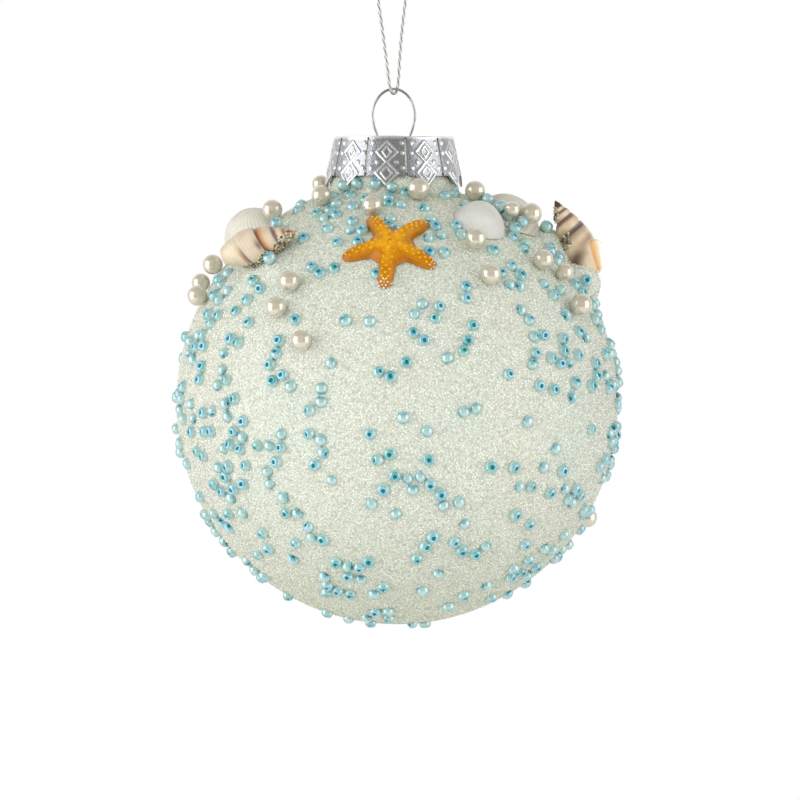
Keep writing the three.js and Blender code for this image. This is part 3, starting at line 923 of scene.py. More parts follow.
@dataclass
class CoatedBall:
    """Hollow glass ball with its neck, under a coat of microbeads.

    Attributes:
        neck_radius: outside of the neck.
        neck_length: neck above the ball.
        flare: how far the shoulder widens into the ball.
        shoulder_height: height of that shoulder.
        sides: points around the ball.
        pitch: smallest distance between two microbeads.
        density: microbeads tried for each square metre.
        bead_radius: radius of a microbead.
        bead_rise: how far it stands proud.
        sunk: how deep its rim lies in the ground.
        coat_top: height at which the coat ends, under the cap.
        sectors: pieces that the microbeads are made in, each under the limit of faces.
        mounds: mounds of coat around shells and a pearl.
    """

    neck_radius: float = 12.4
    neck_length: float = 11.5
    flare: float = 2.3
    shoulder_height: float = 5.8
    sides: int = 224
    pitch: float = 0.52
    density: float = 12e6
    bead_radius: float = 0.31
    bead_rise: float = 0.23
    sunk: float = 0.08
    coat_top: float = 55.0
    sectors: tuple[str, ...] = ("right", "back", "left", "front")
    mounds: tuple[Mound, ...] = (
        Mound(85, 33.0, 5.4, 4.4),
        Mound(90, 45.0, 7.0, 3.4),
        Mound(-50, 38.5, 7.4, 1.4),
        Mound(-45.5, 38.0, 5.0, 2.0),
        Mound(-66, 54.9, 3.4, 1.1),
        Mound(-112, 69.5, 3.6, 0.9),
    )

    def outside(self) -> Profile:
        """Profile of the outside from the bottom of the ball to the top of the neck."""
        shoulder = math.sqrt(BALL_RADIUS**2 - self.neck_radius**2)
        profile = []
        turns = 150
        for k in range(turns + 1):
            angle = -math.pi / 2 + math.pi * k / turns
            radius, height = BALL_RADIUS * math.cos(angle), BALL_RADIUS * math.sin(angle)
            if height > 0 and radius < self.neck_radius + self.flare + 0.1:
                break
            profile.append((max(radius, 0.01), height))
        for k in range(9):
            step = (1 - k / 8) * 0.9 * math.pi / 2
            height = shoulder + self.shoulder_height * math.cos(step) - 1.2
            profile.append((self.neck_radius + self.flare * math.sin(step), height))
        profile.append((self.neck_radius, shoulder + self.neck_length))
        return profile

    def inside(self) -> Profile:
        """Profile of the bore from the top of the neck to the bottom of the hollow."""
        bore = self.neck_radius - BALL_WALL
        hollow = BALL_RADIUS - BALL_WALL
        top = self.outside()[-1][1]
        profile = [(bore, top)]
        for k in range(60):
            angle = math.pi / 2 - math.pi * k / 60
            radius, height = hollow * math.cos(angle), hollow * math.sin(angle)
            if radius > bore or height < 0:
                profile.append((radius, height))
        return profile

    def raised(self, point: Vector) -> Vector:
        """Lift a point of the outside where a mound of coat lies."""
        direction = point.normalized()
        return point + direction * self.rise(direction)

    def rise(self, direction: Vector) -> float:
        """How far the mounds lift the coat in a direction."""
        rise = 0.0
        for mound in self.mounds:
            chord = (direction - outward(mound.azimuth, mound.elevation)).length * BALL_RADIUS
            if chord < mound.radius:
                share = chord / mound.radius
                rise = max(rise, mound.rise * (1 - share**2) ** 0.9)
        return rise

    def ring(self, radius: float, height: float, start: float, stop: float, count: int) -> Points:
        """Points of a ring round the ball or, higher up, round the neck's own axis."""
        lean = min(max((height - LEAN_START) / LEAN_HEIGHT, 0.0), 1.0) * NECK_OFFSET
        turns = (math.radians(start + (stop - start) * i / count) for i in range(count))
        return [
            Vector((radius * math.cos(a) + lean, radius * math.sin(a), height)) for a in turns
        ]

    def shell(self) -> bpy.types.Object:
        """Make the glass with its painted outside, darkened as painted shade under the microbeads,
        and its true wall.
        """
        outside, inside = self.outside(), self.inside()
        rings = [[self.raised(p) for p in self.ring(r, z, 0, 360, self.sides)] for r, z in outside]
        rings += [self.ring(r, z, 0, 360, self.sides) for r, z in inside]
        points = [Vector((0, 0, -BALL_RADIUS))]
        points += [p for ring in rings for p in ring] + [Vector((0, 0, BALL_WALL - BALL_RADIUS))]
        faces = [face[::-1] for face in ring_faces(self.sides, len(rings))]
        made = make_object("glass_ball_shell", points, faces)
        made.data.materials.append(Finishes.GLUE_GROUND_AND_SHADE.value.material())
        made.data.materials.append(Finishes.BLOWN.value.material())
        first_inside = 1 + len(outside) * self.sides
        for face in made.data.polygons:
            face.material_index = int(min(face.vertices) >= first_inside)
        return hand_over(made, Finishes.GLUE_GROUND_AND_SHADE.value, "glass_ball")

    def microbead(self) -> bpy.types.Object:
        """Make one microbead as a low dome of six faces."""
        sides = 6
        points = [Vector((0, 0, self.bead_rise)), *circle(self.bead_radius, -self.sunk, sides)]
        faces = [(0, 1 + i, 1 + (i + 1) % sides) for i in range(sides)]
        return make_object("microbead", [p - BALL_CENTRE for p in points], faces)

    def microbeads(self) -> None:
        """Pack the microbeads over the outside, one piece for each quarter of the ball."""
        tree = microbead_tree()
        bead = self.microbead()
        profile = [(r, z) for r, z in self.outside() if z < self.coat_top]
        quarter = 60
        for number, name in enumerate(self.sectors):
            start = number * 90 - 45
            points: Points = []
            for radius, height in profile:
                ring = self.ring(radius, height, start, start + 90, quarter)
                ring += self.ring(radius, height, start + 90, start + 180, 1)
                points += [self.raised(p) for p in ring]
            row = quarter + 1
            faces = [
                (k * row + i, k * row + i + 1, (k + 1) * row + i + 1, (k + 1) * row + i)
                for k in range(len(profile) - 1)
                for i in range(quarter)
            ]
            source = make_object(f"coat_{name}", points, faces)
            made = grown(source, tree, f"microbeads_{name}", {
                "Bead": bead, "Spacing": self.pitch * MM, "Density": self.density,
                "Seed": 11 + number, "Finish": Finishes.MICROBEADS.value.material(),
            })
            hand_over(made, Finishes.MICROBEADS.value, "glass_ball")
        bpy.data.objects.remove(bead)


@dataclass(frozen=True)
class Band:
    """Seed beads on the front, 15 degrees high: how many lie in every 15 degrees from the left."""

    low: float
    counts: tuple[int, ...]


@dataclass
class SeedBeads:
    """Turquoise seed beads stuck on the coat, some standing on end and some lying down.

    Attributes:
        pearls: azimuth and elevation of each pearl.
        star: the starfish, which they keep clear of.
        ball: the ball they are stuck on.
        diameter: across the bead.
        length: along its bore.
        bore: across the bore.
        proud: how far the bead stands out of the coat.
        pitch: smallest distance between two of the source's own beads.
        close: smallest distance between any two others.
        chosen: azimuth, elevation and lift of beads on or beside a shell or the starfish.
        string: share of the beads that touch the one before.
        seed: seed of the part's source.
        far: places that the source's own beads leave free.
        near: places that the others leave free.
        first: drifts that the part's source carries too.
        bands: the other beads on the front.
        highest: top of the highest band.
        back: drifts of the other beads on the back.
    """

    pearls: Sequence[tuple[float, float]]
    star: "Starfish"
    ball: CoatedBall
    diameter: float = 2.9
    length: float = 2.3
    bore: float = 0.92
    proud: float = 1.45
    pitch: float = 4.5
    close: float = 2.72
    chosen: tuple[tuple[float, float, float], ...] = (
        (54.5, 57.2, 3.2), (56.5, 54.8, 2.2), (53.1, 50.1, 1.6), (51.6, 48.7, 0.0),
        (59.1, 51.3, 2.6), (58.1, 62.4, 2.0), (84.0, 49.7, 0.9), (-43.8, 38.6, 1.0),
        (-56.9, 51.5, 2.0), (-38.9, 48.1, 0.0), (-6.4, 35.7, 0.4), (-49.3, 72.2, 1.7),
        (-35.4, 72.6, 2.0), (-18.3, 72.6, 2.0), (-4.3, 72.0, 1.3),
    )
    string: float = 0.35
    seed: int = 20311
    far: tuple[KeepOut, ...] = (
        KeepOut(-2.2, 44.8, 13.0),
        KeepOut(40.3, 54.6, 8.2),
        KeepOut(71.5, 57.3, 8.9),
        KeepOut(-81.5, 49.0, 7.5),
        KeepOut(-51.6, 41.4, 9.0),
        KeepOut(86.5, 41.6, 9.7),
        KeepOut(0.0, 90.0, 19.3),
    )
    near: tuple[KeepOut, ...] = (
        KeepOut(40.3, 54.6, 7.4),
        KeepOut(71.5, 57.3, 8.2),
        KeepOut(-81.5, 49.0, 7.4),
        KeepOut(-58.2, 37.5, 5.4),
        KeepOut(-51.6, 41.4, 5.6),
        KeepOut(-45.0, 45.3, 4.6),
        KeepOut(86.5, 34.5, 5.2),
        KeepOut(86.5, 41.6, 5.2),
        KeepOut(86.5, 48.5, 4.4),
        KeepOut(0.0, 90.0, 15.5),
    )
    first: tuple[Drift, ...] = (
        Drift(-62, 2, 26, 22, 6),
        Drift(62, 6, 26, 24, 6),
        Drift(-35, -42, 34, 20, 6),
        Drift(34, -42, 36, 20, 6),
        Drift(10, 56, 60, 10, 5),
        Drift(180, 0, 80, 50, 4),
    )
    bands: tuple[Band, ...] = (
        Band(66, (1, 1, 1, 1, 1, 2, 1, 1, 1, 1, 1, 1)),
        Band(55, (1, 1, 0, 4, 1, 3, 0, 2, 1, 0, 0, 3)),
        Band(42, (2, 2, 0, 1, 1, 3, 2, 4, 1, 2, 0, 4)),
        Band(30, (1, 5, 2, 0, 3, 0, 0, 2, 5, 2, 2, 2)),
        Band(15, (3, 4, 5, 0, 1, 2, 6, 1, 4, 5, 4, 5)),
        Band(0, (3, 6, 5, 5, 4, 2, 2, 2, 6, 3, 4, 5)),
        Band(-15, (4, 5, 7, 6, 4, 3, 3, 2, 1, 1, 6, 7)),
        Band(-30, (5, 3, 6, 6, 2, 5, 5, 2, 5, 3, 6, 4)),
        Band(-45, (3, 3, 2, 1, 4, 1, 3, 2, 2, 1, 2, 5)),
        Band(-60, (2, 3, 0, 3, 3, 2, 1, 1, 1, 2, 2, 2)),
        Band(-75, (0, 1, 0, 1, 2, 1, 0, 0, 1, 1, 0, 0)),
        Band(-90, (0, 1, 0, 1, 0, 0, 0, 0, 1, 0, 1, 0)),
    )
    highest: float = 77.0
    back: tuple[Drift, ...] = (
        Drift(120, 6, 34, 46, 40), Drift(180, 0, 50, 60, 60), Drift(-120, 4, 34, 46, 40),
    )

    def clear(self, out: Vector, taken: list[tuple[Vector, float]]) -> bool:
        """Whether a bead fits in a direction, clear of all that is there."""
        return all((out - o).length * BALL_RADIUS > r for o, r in taken) and not (
            self.star.covers(out, self.diameter / 2))

    def drifted(
        self, numbers: SeededNumbers, drifts: Sequence[Drift], pitch: float,
        taken: list[tuple[Vector, float]],
    ) -> Iterator[tuple[float, float, bool, float, float]]:
        """Yield azimuth, elevation, whether it lies, turn and lift of some drifts' beads."""
        for drift in drifts:
            placed = attempts = 0
            while placed < drift.count and attempts < drift.count * 30:
                attempts += 1
                azimuth = drift.azimuth + numbers.spread() * drift.spread_azimuth
                elevation = drift.elevation + numbers.spread() * drift.spread_elevation
                lying = numbers.next() < 0.4
                turn = numbers.next() * 180
                out = outward(azimuth, elevation)
                if all((out - o).length * BALL_RADIUS > r for o, r in taken):
                    taken.append((out, pitch))
                    placed += 1
                    yield azimuth, elevation, lying, turn, 0.0

    def banded(
        self, numbers: SeededNumbers, taken: list[tuple[Vector, float]]
    ) -> Iterator[tuple[float, float, bool, float, float]]:
        """Yield azimuth, elevation, whether it lies, turn and lift of the bands' beads."""
        for band, above in zip(self.bands, (Band(self.highest, ()), *self.bands)):
            for column, count in enumerate(band.counts):
                left, last = -90 + 15 * column, None
                placed = attempts = 0
                while placed < count and attempts < 60:
                    attempts += 1
                    azimuth = left + 15 * numbers.next()
                    elevation = band.low + (above.low - band.low) * numbers.next()
                    if last and numbers.next() < self.string:
                        angle = 2 * math.pi * numbers.next()
                        step = math.degrees(self.close * 1.08 / BALL_RADIUS)
                        azimuth = last[0] + step * math.cos(angle) / math.cos(
                            math.radians(min(abs(last[1]), 75)))
                        elevation = last[1] + step * math.sin(angle)
                    out = outward(azimuth, elevation)
                    if self.clear(out, taken):
                        taken.append((out, self.close))
                        placed += 1
                        last = (azimuth, elevation)
                        lying = numbers.next() < 0.35
                        yield azimuth, elevation, lying, numbers.next() * 180, 0.0

    def places(self) -> Iterator[tuple[float, float, bool, float, float]]:
        """Yield azimuth, elevation, whether it lies, turn and lift of every seed bead."""
        numbers = SeededNumbers(self.seed)
        taken = [(outward(k.azimuth, k.elevation), k.radius) for k in self.far]
        taken += [(outward(*pearl), 4.2) for pearl in self.pearls]
        own = list(self.drifted(numbers, self.first, self.pitch, taken))
        yield from own
        taken = [(outward(k.azimuth, k.elevation), k.radius) for k in self.near]
        taken += [(outward(*pearl), 3.5) for pearl in self.pearls]
        taken += [(outward(bead[0], bead[1]), self.close) for bead in own]
        taken += [(outward(bead[0], bead[1]), self.close) for bead in self.chosen]
        for azimuth, elevation, lift in self.chosen:
            yield azimuth, elevation, lift > 3, azimuth * 7, lift
        yield from self.banded(numbers, taken)
        yield from self.drifted(numbers, self.back, self.close, taken)

    def bead(self) -> tuple[Points, Faces, dict[str, list[float]]]:
        """One bead: a short rounded tube whose bore is plugged with glue, in few faces; the bore
        and plug carry the painted shade of the hole.
        """
        half, outer, inner = self.length / 2, self.diameter / 2, self.bore / 2
        profile = [
            (inner, -half * 0.6), (inner * 1.08, -half * 0.9), (inner * 1.5, -half),
            (outer * 0.74, -half * 0.87), (outer * 0.93, -half * 0.5), (outer, 0.0),
            (outer * 0.93, half * 0.5), (outer * 0.74, half * 0.87), (inner * 1.5, half),
            (inner * 1.08, half * 0.9), (inner, half * 0.6),
        ]
        around = 10
        points = [Vector((0, 0, -half * 0.5))]
        points += [p for r, z in profile for p in circle(r, z, around)]
        points.append(Vector((0, 0, half * 0.5)))
        faces = [f[::-1] for f in ring_faces(around, len(profile))]
        reach = [0.0] + [r for r, _ in profile for _ in range(around)] + [0.0]
        # The bore and its plug are marked for the dark teal of painted shade in the hole.
        bore = [float(r <= inner) for r in reach]
        edge = [max(0.0, r / outer - 0.74) / 0.26 for r in reach]
        return points, faces, {"bore": bore, "edge": edge}

    def build(self) -> bpy.types.Object:
        """Set every seed bead on the coat as one piece."""
        numbers = SeededNumbers(904)
        beads = SetOut()
        for azimuth, elevation, lying, turn, lift in self.places():
            high = self.diameter if lying else self.length
            rise = self.ball.rise(outward(azimuth, elevation))
            place = seat(azimuth, elevation, self.proud - high / 2 + rise + lift)
            spin = Matrix.Rotation(math.radians(turn), 4, "Z")
            if lying:
                spin = spin @ Matrix.Rotation(math.pi / 2, 4, "X")
            tip = Matrix.Rotation(numbers.spread() * 0.75, 4, "X")
            beads.places.append(place.translation)
            beads.aims += (place @ spin @ tip).to_euler()
            beads.sizes.append(0.92 + 0.16 * numbers.next())
            beads.tones.append(numbers.next())
        points, faces, marks = self.bead()
        return beads.build(
            "seed_beads", Finishes.SEED.value, "glass_ball", points, faces, **marks)


# Cap, hanger and cord


@dataclass
class PressedCap:
    """Pressed cap: a flat top and ten embossed flaps that end in points.

    Attributes:
        height: underside of its top above the middle of the ball.
        sheet: thickness of the sheet.
        radius: radius at the top.
        flare: how much wider the skirt is at its foot.
        skirt: depth of the skirt.
        drop: how far each flap's point hangs below that.
        point: width of that point.
        flaps: number of flaps.
        turn: turn of the front flap, in degrees.
        slit: gap between two flaps.
        relief: height of the raised lines.
        diamonds: depth, half width and half height of each diamond, and its line's thickness.
        dots: place of each dot beside the flap's middle line and below the top.
        dot: radius of a dot.
    """

    height: float = 60.238
    sheet: float = 0.4
    radius: float = 13.4
    flare: float = 1.9
    skirt: float = 8.9
    drop: float = 2.5
    point: float = 5.0
    flaps: int = 10
    turn: float = -7.0
    slit: float = 0.55
    relief: float = 0.16
    diamonds: tuple[tuple[float, float, float, float], ...] = (
        (3.5, 2.35, 2.4, 0.33), (3.5, 0.95, 1.3, 0.27),
        (8.3, 2.35, 2.6, 0.33), (8.3, 1.15, 1.45, 0.27),
    )
    dots: tuple[tuple[float, float], ...] = ((3.35, 1.5), (3.45, 3.75), (2.1, 5.85), (3.45, 7.15))
    dot: float = 0.5

    def raised(self, across: float, depth: float) -> float:
        """Height of the embossing, from 0 to 1, at a place on a flap.

        Args:
            across: millimetres from the flap's middle line.
            depth: millimetres below the top.

        Returns:
            1 on a raised line or dot, and 0 on the ground.
        """
        across = abs(across - 0.2)
        best = 0.0
        for middle, wide, high, thick in self.diamonds:
            ratio = abs(depth - middle) / high + across / wide
            off = abs(ratio - 1) * min(wide, high) * 0.82
            best = max(best, 1 - (off / thick) ** 2)
        for x, z in self.dots:
            off = math.hypot(across - x, depth - z) / self.dot
            best = max(best, math.sqrt(max(0.0, 1 - off * off)))
        rim = max(0.0, 1 - ((depth - 0.35) / 0.3) ** 2) if depth > 0.05 else 0.0
        return max(best, rim * 0.7)

    def flap(self, number: int) -> tuple[Points, Faces, list[float]]:
        """One flap as a closed sheet with its embossing on the outside."""
        columns, rows = 57, 61
        half_turn = math.pi / self.flaps
        middle = math.radians(self.turn + number * 360 / self.flaps) - math.pi / 2
        points: Points = []
        raised: list[float] = []
        for side in (0, 1):
            for k in range(rows):
                for i in range(columns):
                    share = 2 * i / (columns - 1) - 1
                    wide = (self.radius + self.flare / 2) * half_turn - self.slit / 2
                    across = share * wide
                    fall = max(0.0, 1 - abs(across) / (self.point / 2)) * self.drop
                    depth = (self.skirt + fall) * k / (rows - 1)
                    radius = self.radius + self.flare * depth / self.skirt
                    high = self.raised(across, depth) if side == 0 else 0.0
                    radius += (high * self.relief) if side == 0 else -self.sheet
                    angle = middle + across / (self.radius + self.flare / 2)
                    points.append(Vector((
                        radius * math.cos(angle) + NECK_OFFSET,
                        radius * math.sin(angle),
                        self.height + self.sheet - depth - (0.02 if k == 0 else 0.0),
                    )))
                    raised.append(high)
        faces: Faces = []
        back = rows * columns
        for k in range(rows - 1):
            for i in range(columns - 1):
                a, b = k * columns + i, k * columns + i + 1
                c, d = b + columns, a + columns
                faces += [(a, d, c, b), (back + a, back + b, back + c, back + d)]
        edge = [i for i in range(columns)]
        edge += [k * columns + columns - 1 for k in range(1, rows)]
        edge += [(rows - 1) * columns + i for i in range(columns - 2, -1, -1)]
        edge += [k * columns for k in range(rows - 2, 0, -1)]
        for a, b in zip(edge, edge[1:] + edge[:1]):
            faces.append((a, b, back + b, back + a))
        return points, faces, raised

    def filled_slits(self) -> bpy.types.Object:
        """Coat that fills the slits between the flaps."""
        points: Points = []
        faces: Faces = []
        half = (self.slit / 2 - 0.04) / self.radius
        for number in range(self.flaps):
            middle = math.radians(self.turn + (number + 0.5) * 360 / self.flaps) - math.pi / 2
            start = len(points)
            for depth, radius in ((0.6, self.radius), (8.3, self.radius + self.flare * 0.93)):
                for side, reach in ((-1, -0.5), (1, -0.5), (1, -0.12), (-1, -0.12)):
                    angle = middle + side * half
                    points.append(Vector((
                        (radius + reach) * math.cos(angle) + NECK_OFFSET,
                        (radius + reach) * math.sin(angle), self.height + self.sheet - depth)))
            box = [(0, 1, 2, 3), (7, 6, 5, 4)]
            box += [(i, 4 + i, 4 + (i + 1) % 4, (i + 1) % 4) for i in range(4)]
            faces += [tuple(start + v for v in face) for face in box]
        made = make_object("coat_in_slits", points, faces)
        return hand_over(made, Finishes.GLUE_GROUND_AND_SHADE.value, "glass_ball")

    def top(self) -> tuple[Points, Faces]:
        """The flat top with its rolled edge, and the two wire holes left to the modifier."""
        low, high = self.height, self.height + self.sheet
        edge = [
            (self.radius + 0.05 + 0.18 * math.sin(a), high - 0.16 + 0.2 * math.cos(a))
            for a in (math.pi * k / 8 for k in range(9))
        ]
        profile = [(r, high) for r in (4.0, 8.0, 11.0, 12.4, 12.9)] + edge
        profile += [(self.radius - 0.5, low - 0.1), (12.0, low), (8.0, low), (4.0, low)]
        around = 120
        points = [Vector((NECK_OFFSET, 0, high))]
        for radius, height in profile:
            for i in range(around):
                angle = 2 * math.pi * i / around
                wave = 0.09 * math.sin(angle * 3 + 1) + 0.05 * math.sin(angle * 7)
                wave *= float(radius > 13.3)
                points.append(Vector((
                    radius * math.cos(angle) + NECK_OFFSET, radius * math.sin(angle), height + wave
                )))
        points.append(Vector((NECK_OFFSET, 0, low)))
        return points, ring_faces(around, len(profile))

    def build(self, hole_spacing: float, hole: float) -> bpy.types.Object:
        """Make the cap from its flaps and its top, with the two holes for the wire."""
        lid = make_object("cap_top", *self.top())
        sides = 20
        for side in (-1, 1):
            middle = Vector((NECK_OFFSET + side * hole_spacing / 2, 0, self.height))
            rings = circle(hole / 2, -1.0, sides) + circle(hole / 2, 1.0, sides)
            points = [middle + p for p in [Vector((0, 0, -1)), *rings, Vector((0, 0, 1))]]
            punch = make_object("punch", points, [f[::-1] for f in ring_faces(sides, 2)])
            cut = lid.modifiers.new("punch", "BOOLEAN")
            cut.operation, cut.object, cut.solver = "DIFFERENCE", punch, "EXACT"
            graph = bpy.context.evaluated_depsgraph_get()
            mesh = bpy.data.meshes.new_from_object(lid.evaluated_get(graph))
            lid.modifiers.clear()
            lid.data = mesh
            bpy.data.objects.remove(punch)
        points = [Vector(v.co) / MM - BALL_CENTRE for v in lid.data.vertices]
        faces = [tuple(p.vertices) for p in lid.data.polygons]
        # The top's rolled edge is painted near white as a painted highlight.
        raised = [1.0 if p.xy.length > 12.6 else 0.25 for p in points]
        bpy.data.objects.remove(lid)
        for number in range(self.flaps):
            more, more_faces, more_raised = self.flap(number)
            faces += [tuple(v + len(points) for v in face) for face in more_faces]
            points += more
            raised += more_raised
        made = make_object("pressed_cap", points, faces, {"raised": raised})
        made.data.set_sharp_from_angle(angle=math.radians(50))
        return hand_over(made, Finishes.CAP.value, "cap")


@dataclass
class WireHanger:
    """Sprung wire hanger: an oval eye whose legs splay inside the neck.

    Attributes:
        cap_top: top of the cap above the middle of the ball.
        wire: diameter of the wire.
        eye_width: across the eye.
        eye_height: eye above the cap.
        leg_spacing: between the legs where they pass the cap.
        leg_spread: between their ends.
        leg_length: legs below the top of the cap.
    """

    cap_top: float = 60.638
    wire: float = 0.6
    eye_width: float = 9.6
    eye_height: float = 11.1
    leg_spacing: float = 7.3
    leg_spread: float = 16.4
    leg_length: float = 9.6

    def route(self) -> Points:
        """Middle line of the wire."""
        top = self.cap_top + self.eye_height
        middle = top - self.eye_height * 0.58
        half, length = self.eye_width / 2, self.leg_length
        legs = [
            (half * 0.93, middle - self.eye_height * 0.2),
            (self.leg_spacing / 2, self.cap_top),
            (self.leg_spacing / 2 - 0.1, self.cap_top - 1.2),
            (self.leg_spacing / 2 + 1.2, self.cap_top - length * 0.42),
            (self.leg_spread / 2 - 0.8, self.cap_top - length * 0.85),
            (self.leg_spread / 2, self.cap_top - length),
        ]
        arc = [
            (half * math.cos(a), middle + (top - self.wire / 2 - middle) * math.sin(a))
            for a in (math.pi * i / 10 for i in range(11))
        ]
        flat = legs[::-1] + arc + [(-x, z) for x, z in legs]
        return smooth_route([Vector((x + NECK_OFFSET, 0, z)) for x, z in flat], 8)

    def build(self) -> bpy.types.Object:
        """Sweep the wire."""
        points, faces, _ = swept(self.route(), 14, lambda along, turn: self.wire / 2)
        made = make_object("hanger_wire", points, faces)
        return hand_over(made, Finishes.WIRE.value, "wire_hanger")


@dataclass
class HangingCord:
    """Thin twisted silver thread, passed through the eye and knotted in a loop.

    Attributes:
        eye: top of the hanger's eye above the middle of the ball.
        diameter: of the thread.
        lay: length of one turn of its plies.
        plies: number of plies.
        twist: depth of the furrows between two plies, as a share of the radius.
        wire: diameter of the hanger's wire, which the thread passes under.
        tail: length of the two cut ends.
        route: across, depth and height from the middle of the bend under the eye.
    """

    eye: float = 71.738
    diameter: float = 0.8
    lay: float = 2.0
    plies: int = 3
    twist: float = 0.14
    wire: float = 0.6
    tail: float = 3.0
    route: tuple[tuple[float, float, float], ...] = (
        (-1.8, 0.0, 28.4), (-2.9, 0.0, 27.9), (-3.9, -0.1, 26.4), (-4.1, -0.2, 24.2),
        (-3.6, -0.4, 21.2), (-2.9, -0.7, 16.6), (-2.2, -0.9, 11.4), (-1.5, -1.0, 6.2),
        (-1.1, -1.1, 2.7), (-0.8, -1.1, 1.2), (-0.45, -0.72, 0.3), (0.0, 0.0, 0.0),
        (0.45, 0.72, 0.3), (0.8, 1.1, 1.2), (1.0, 1.1, 2.7), (1.25, 1.0, 6.2),
        (1.6, 0.8, 11.4), (2.1, 0.6, 16.6), (2.7, 0.3, 21.2), (3.3, 0.2, 24.2),
        (3.3, 0.1, 26.4), (2.6, 0.0, 27.9), (1.8, 0.0, 28.4),
    )

    def low(self) -> float:
        """Height of the cord's middle line where it bends under the eye."""
        return self.eye - self.wire - GAP - self.diameter / 2

    def thread(
        self, route: Points, radius: float, loop: bool = False
    ) -> tuple[Points, Faces, list[float]]:
        """Twisted thread along a route, with how deep each point lies between two plies."""

        def reach(along: float, turn: float) -> float:
            ply = math.cos(self.plies * (turn + 2 * math.pi * along / (self.lay * self.plies)))
            return radius * (1 - self.twist + self.twist * ply)

        points, faces, places = swept(route, 12, reach, loop)
        furrow = [0.5 + 0.5 * (1 - self.twist - reach(*p) / radius) / self.twist for p in places]
        return points, faces, furrow

    def build(self) -> bpy.types.Object:
        low = self.low()
        centre = [Vector((x + NECK_OFFSET, y, low + z)) for x, y, z in self.route]
        line = smooth_route(centre, 14)
        points, faces, furrow = self.thread(line, self.diameter / 2)
        cord = make_object("silver_cord", points, faces, {"furrow": furrow})
        hand_over(cord, Finishes.THREAD.value, "hanging_cord")
        knot = self.knot(low + self.route[0][2])
        length = sum((b - a).length for a, b in zip(line, line[1:])) * MM
        return cord

    def knot(self, height: float) -> bpy.types.Object:
        """Overhand knot at the top of the loop with its two cut tails."""
        middle = Vector((NECK_OFFSET, 0, height))
        loops = []
        for i in range(72):
            t = 2 * math.pi * i / 72
            loops.append(middle + Vector((
                0.42 * (math.sin(t) + 1.5 * math.sin(2 * t)),
                0.62 * math.sin(3 * t),
                0.36 * (math.cos(t) - 1.6 * math.cos(2 * t)),
            )))
        points, faces, furrow = self.thread(loops, self.diameter * 0.5, loop=True)
        for side in (-1, 1):
            tail = smooth_route([
                middle + Vector((side * 1.75, 0, 0)), middle + Vector((side * 1.0, 0.15, 0.25)),
                middle + Vector((side * 0.5, 0, 1.2)), middle + Vector((side * 0.75, 0.1, 2.5)),
                middle + Vector((side * 1.2, 0, self.tail + 1.1)),
            ], 10)
            more, more_faces, more_furrow = self.thread(tail, self.diameter * 0.45)
            faces += [tuple(v + len(points) for v in face) for face in more_faces]
            points += more
            furrow += more_furrow
        made = make_object("knot_loops", points, faces, {"furrow": furrow})
        return hand_over(made, Finishes.THREAD.value, "knot")


# Starfish, shells and pearls


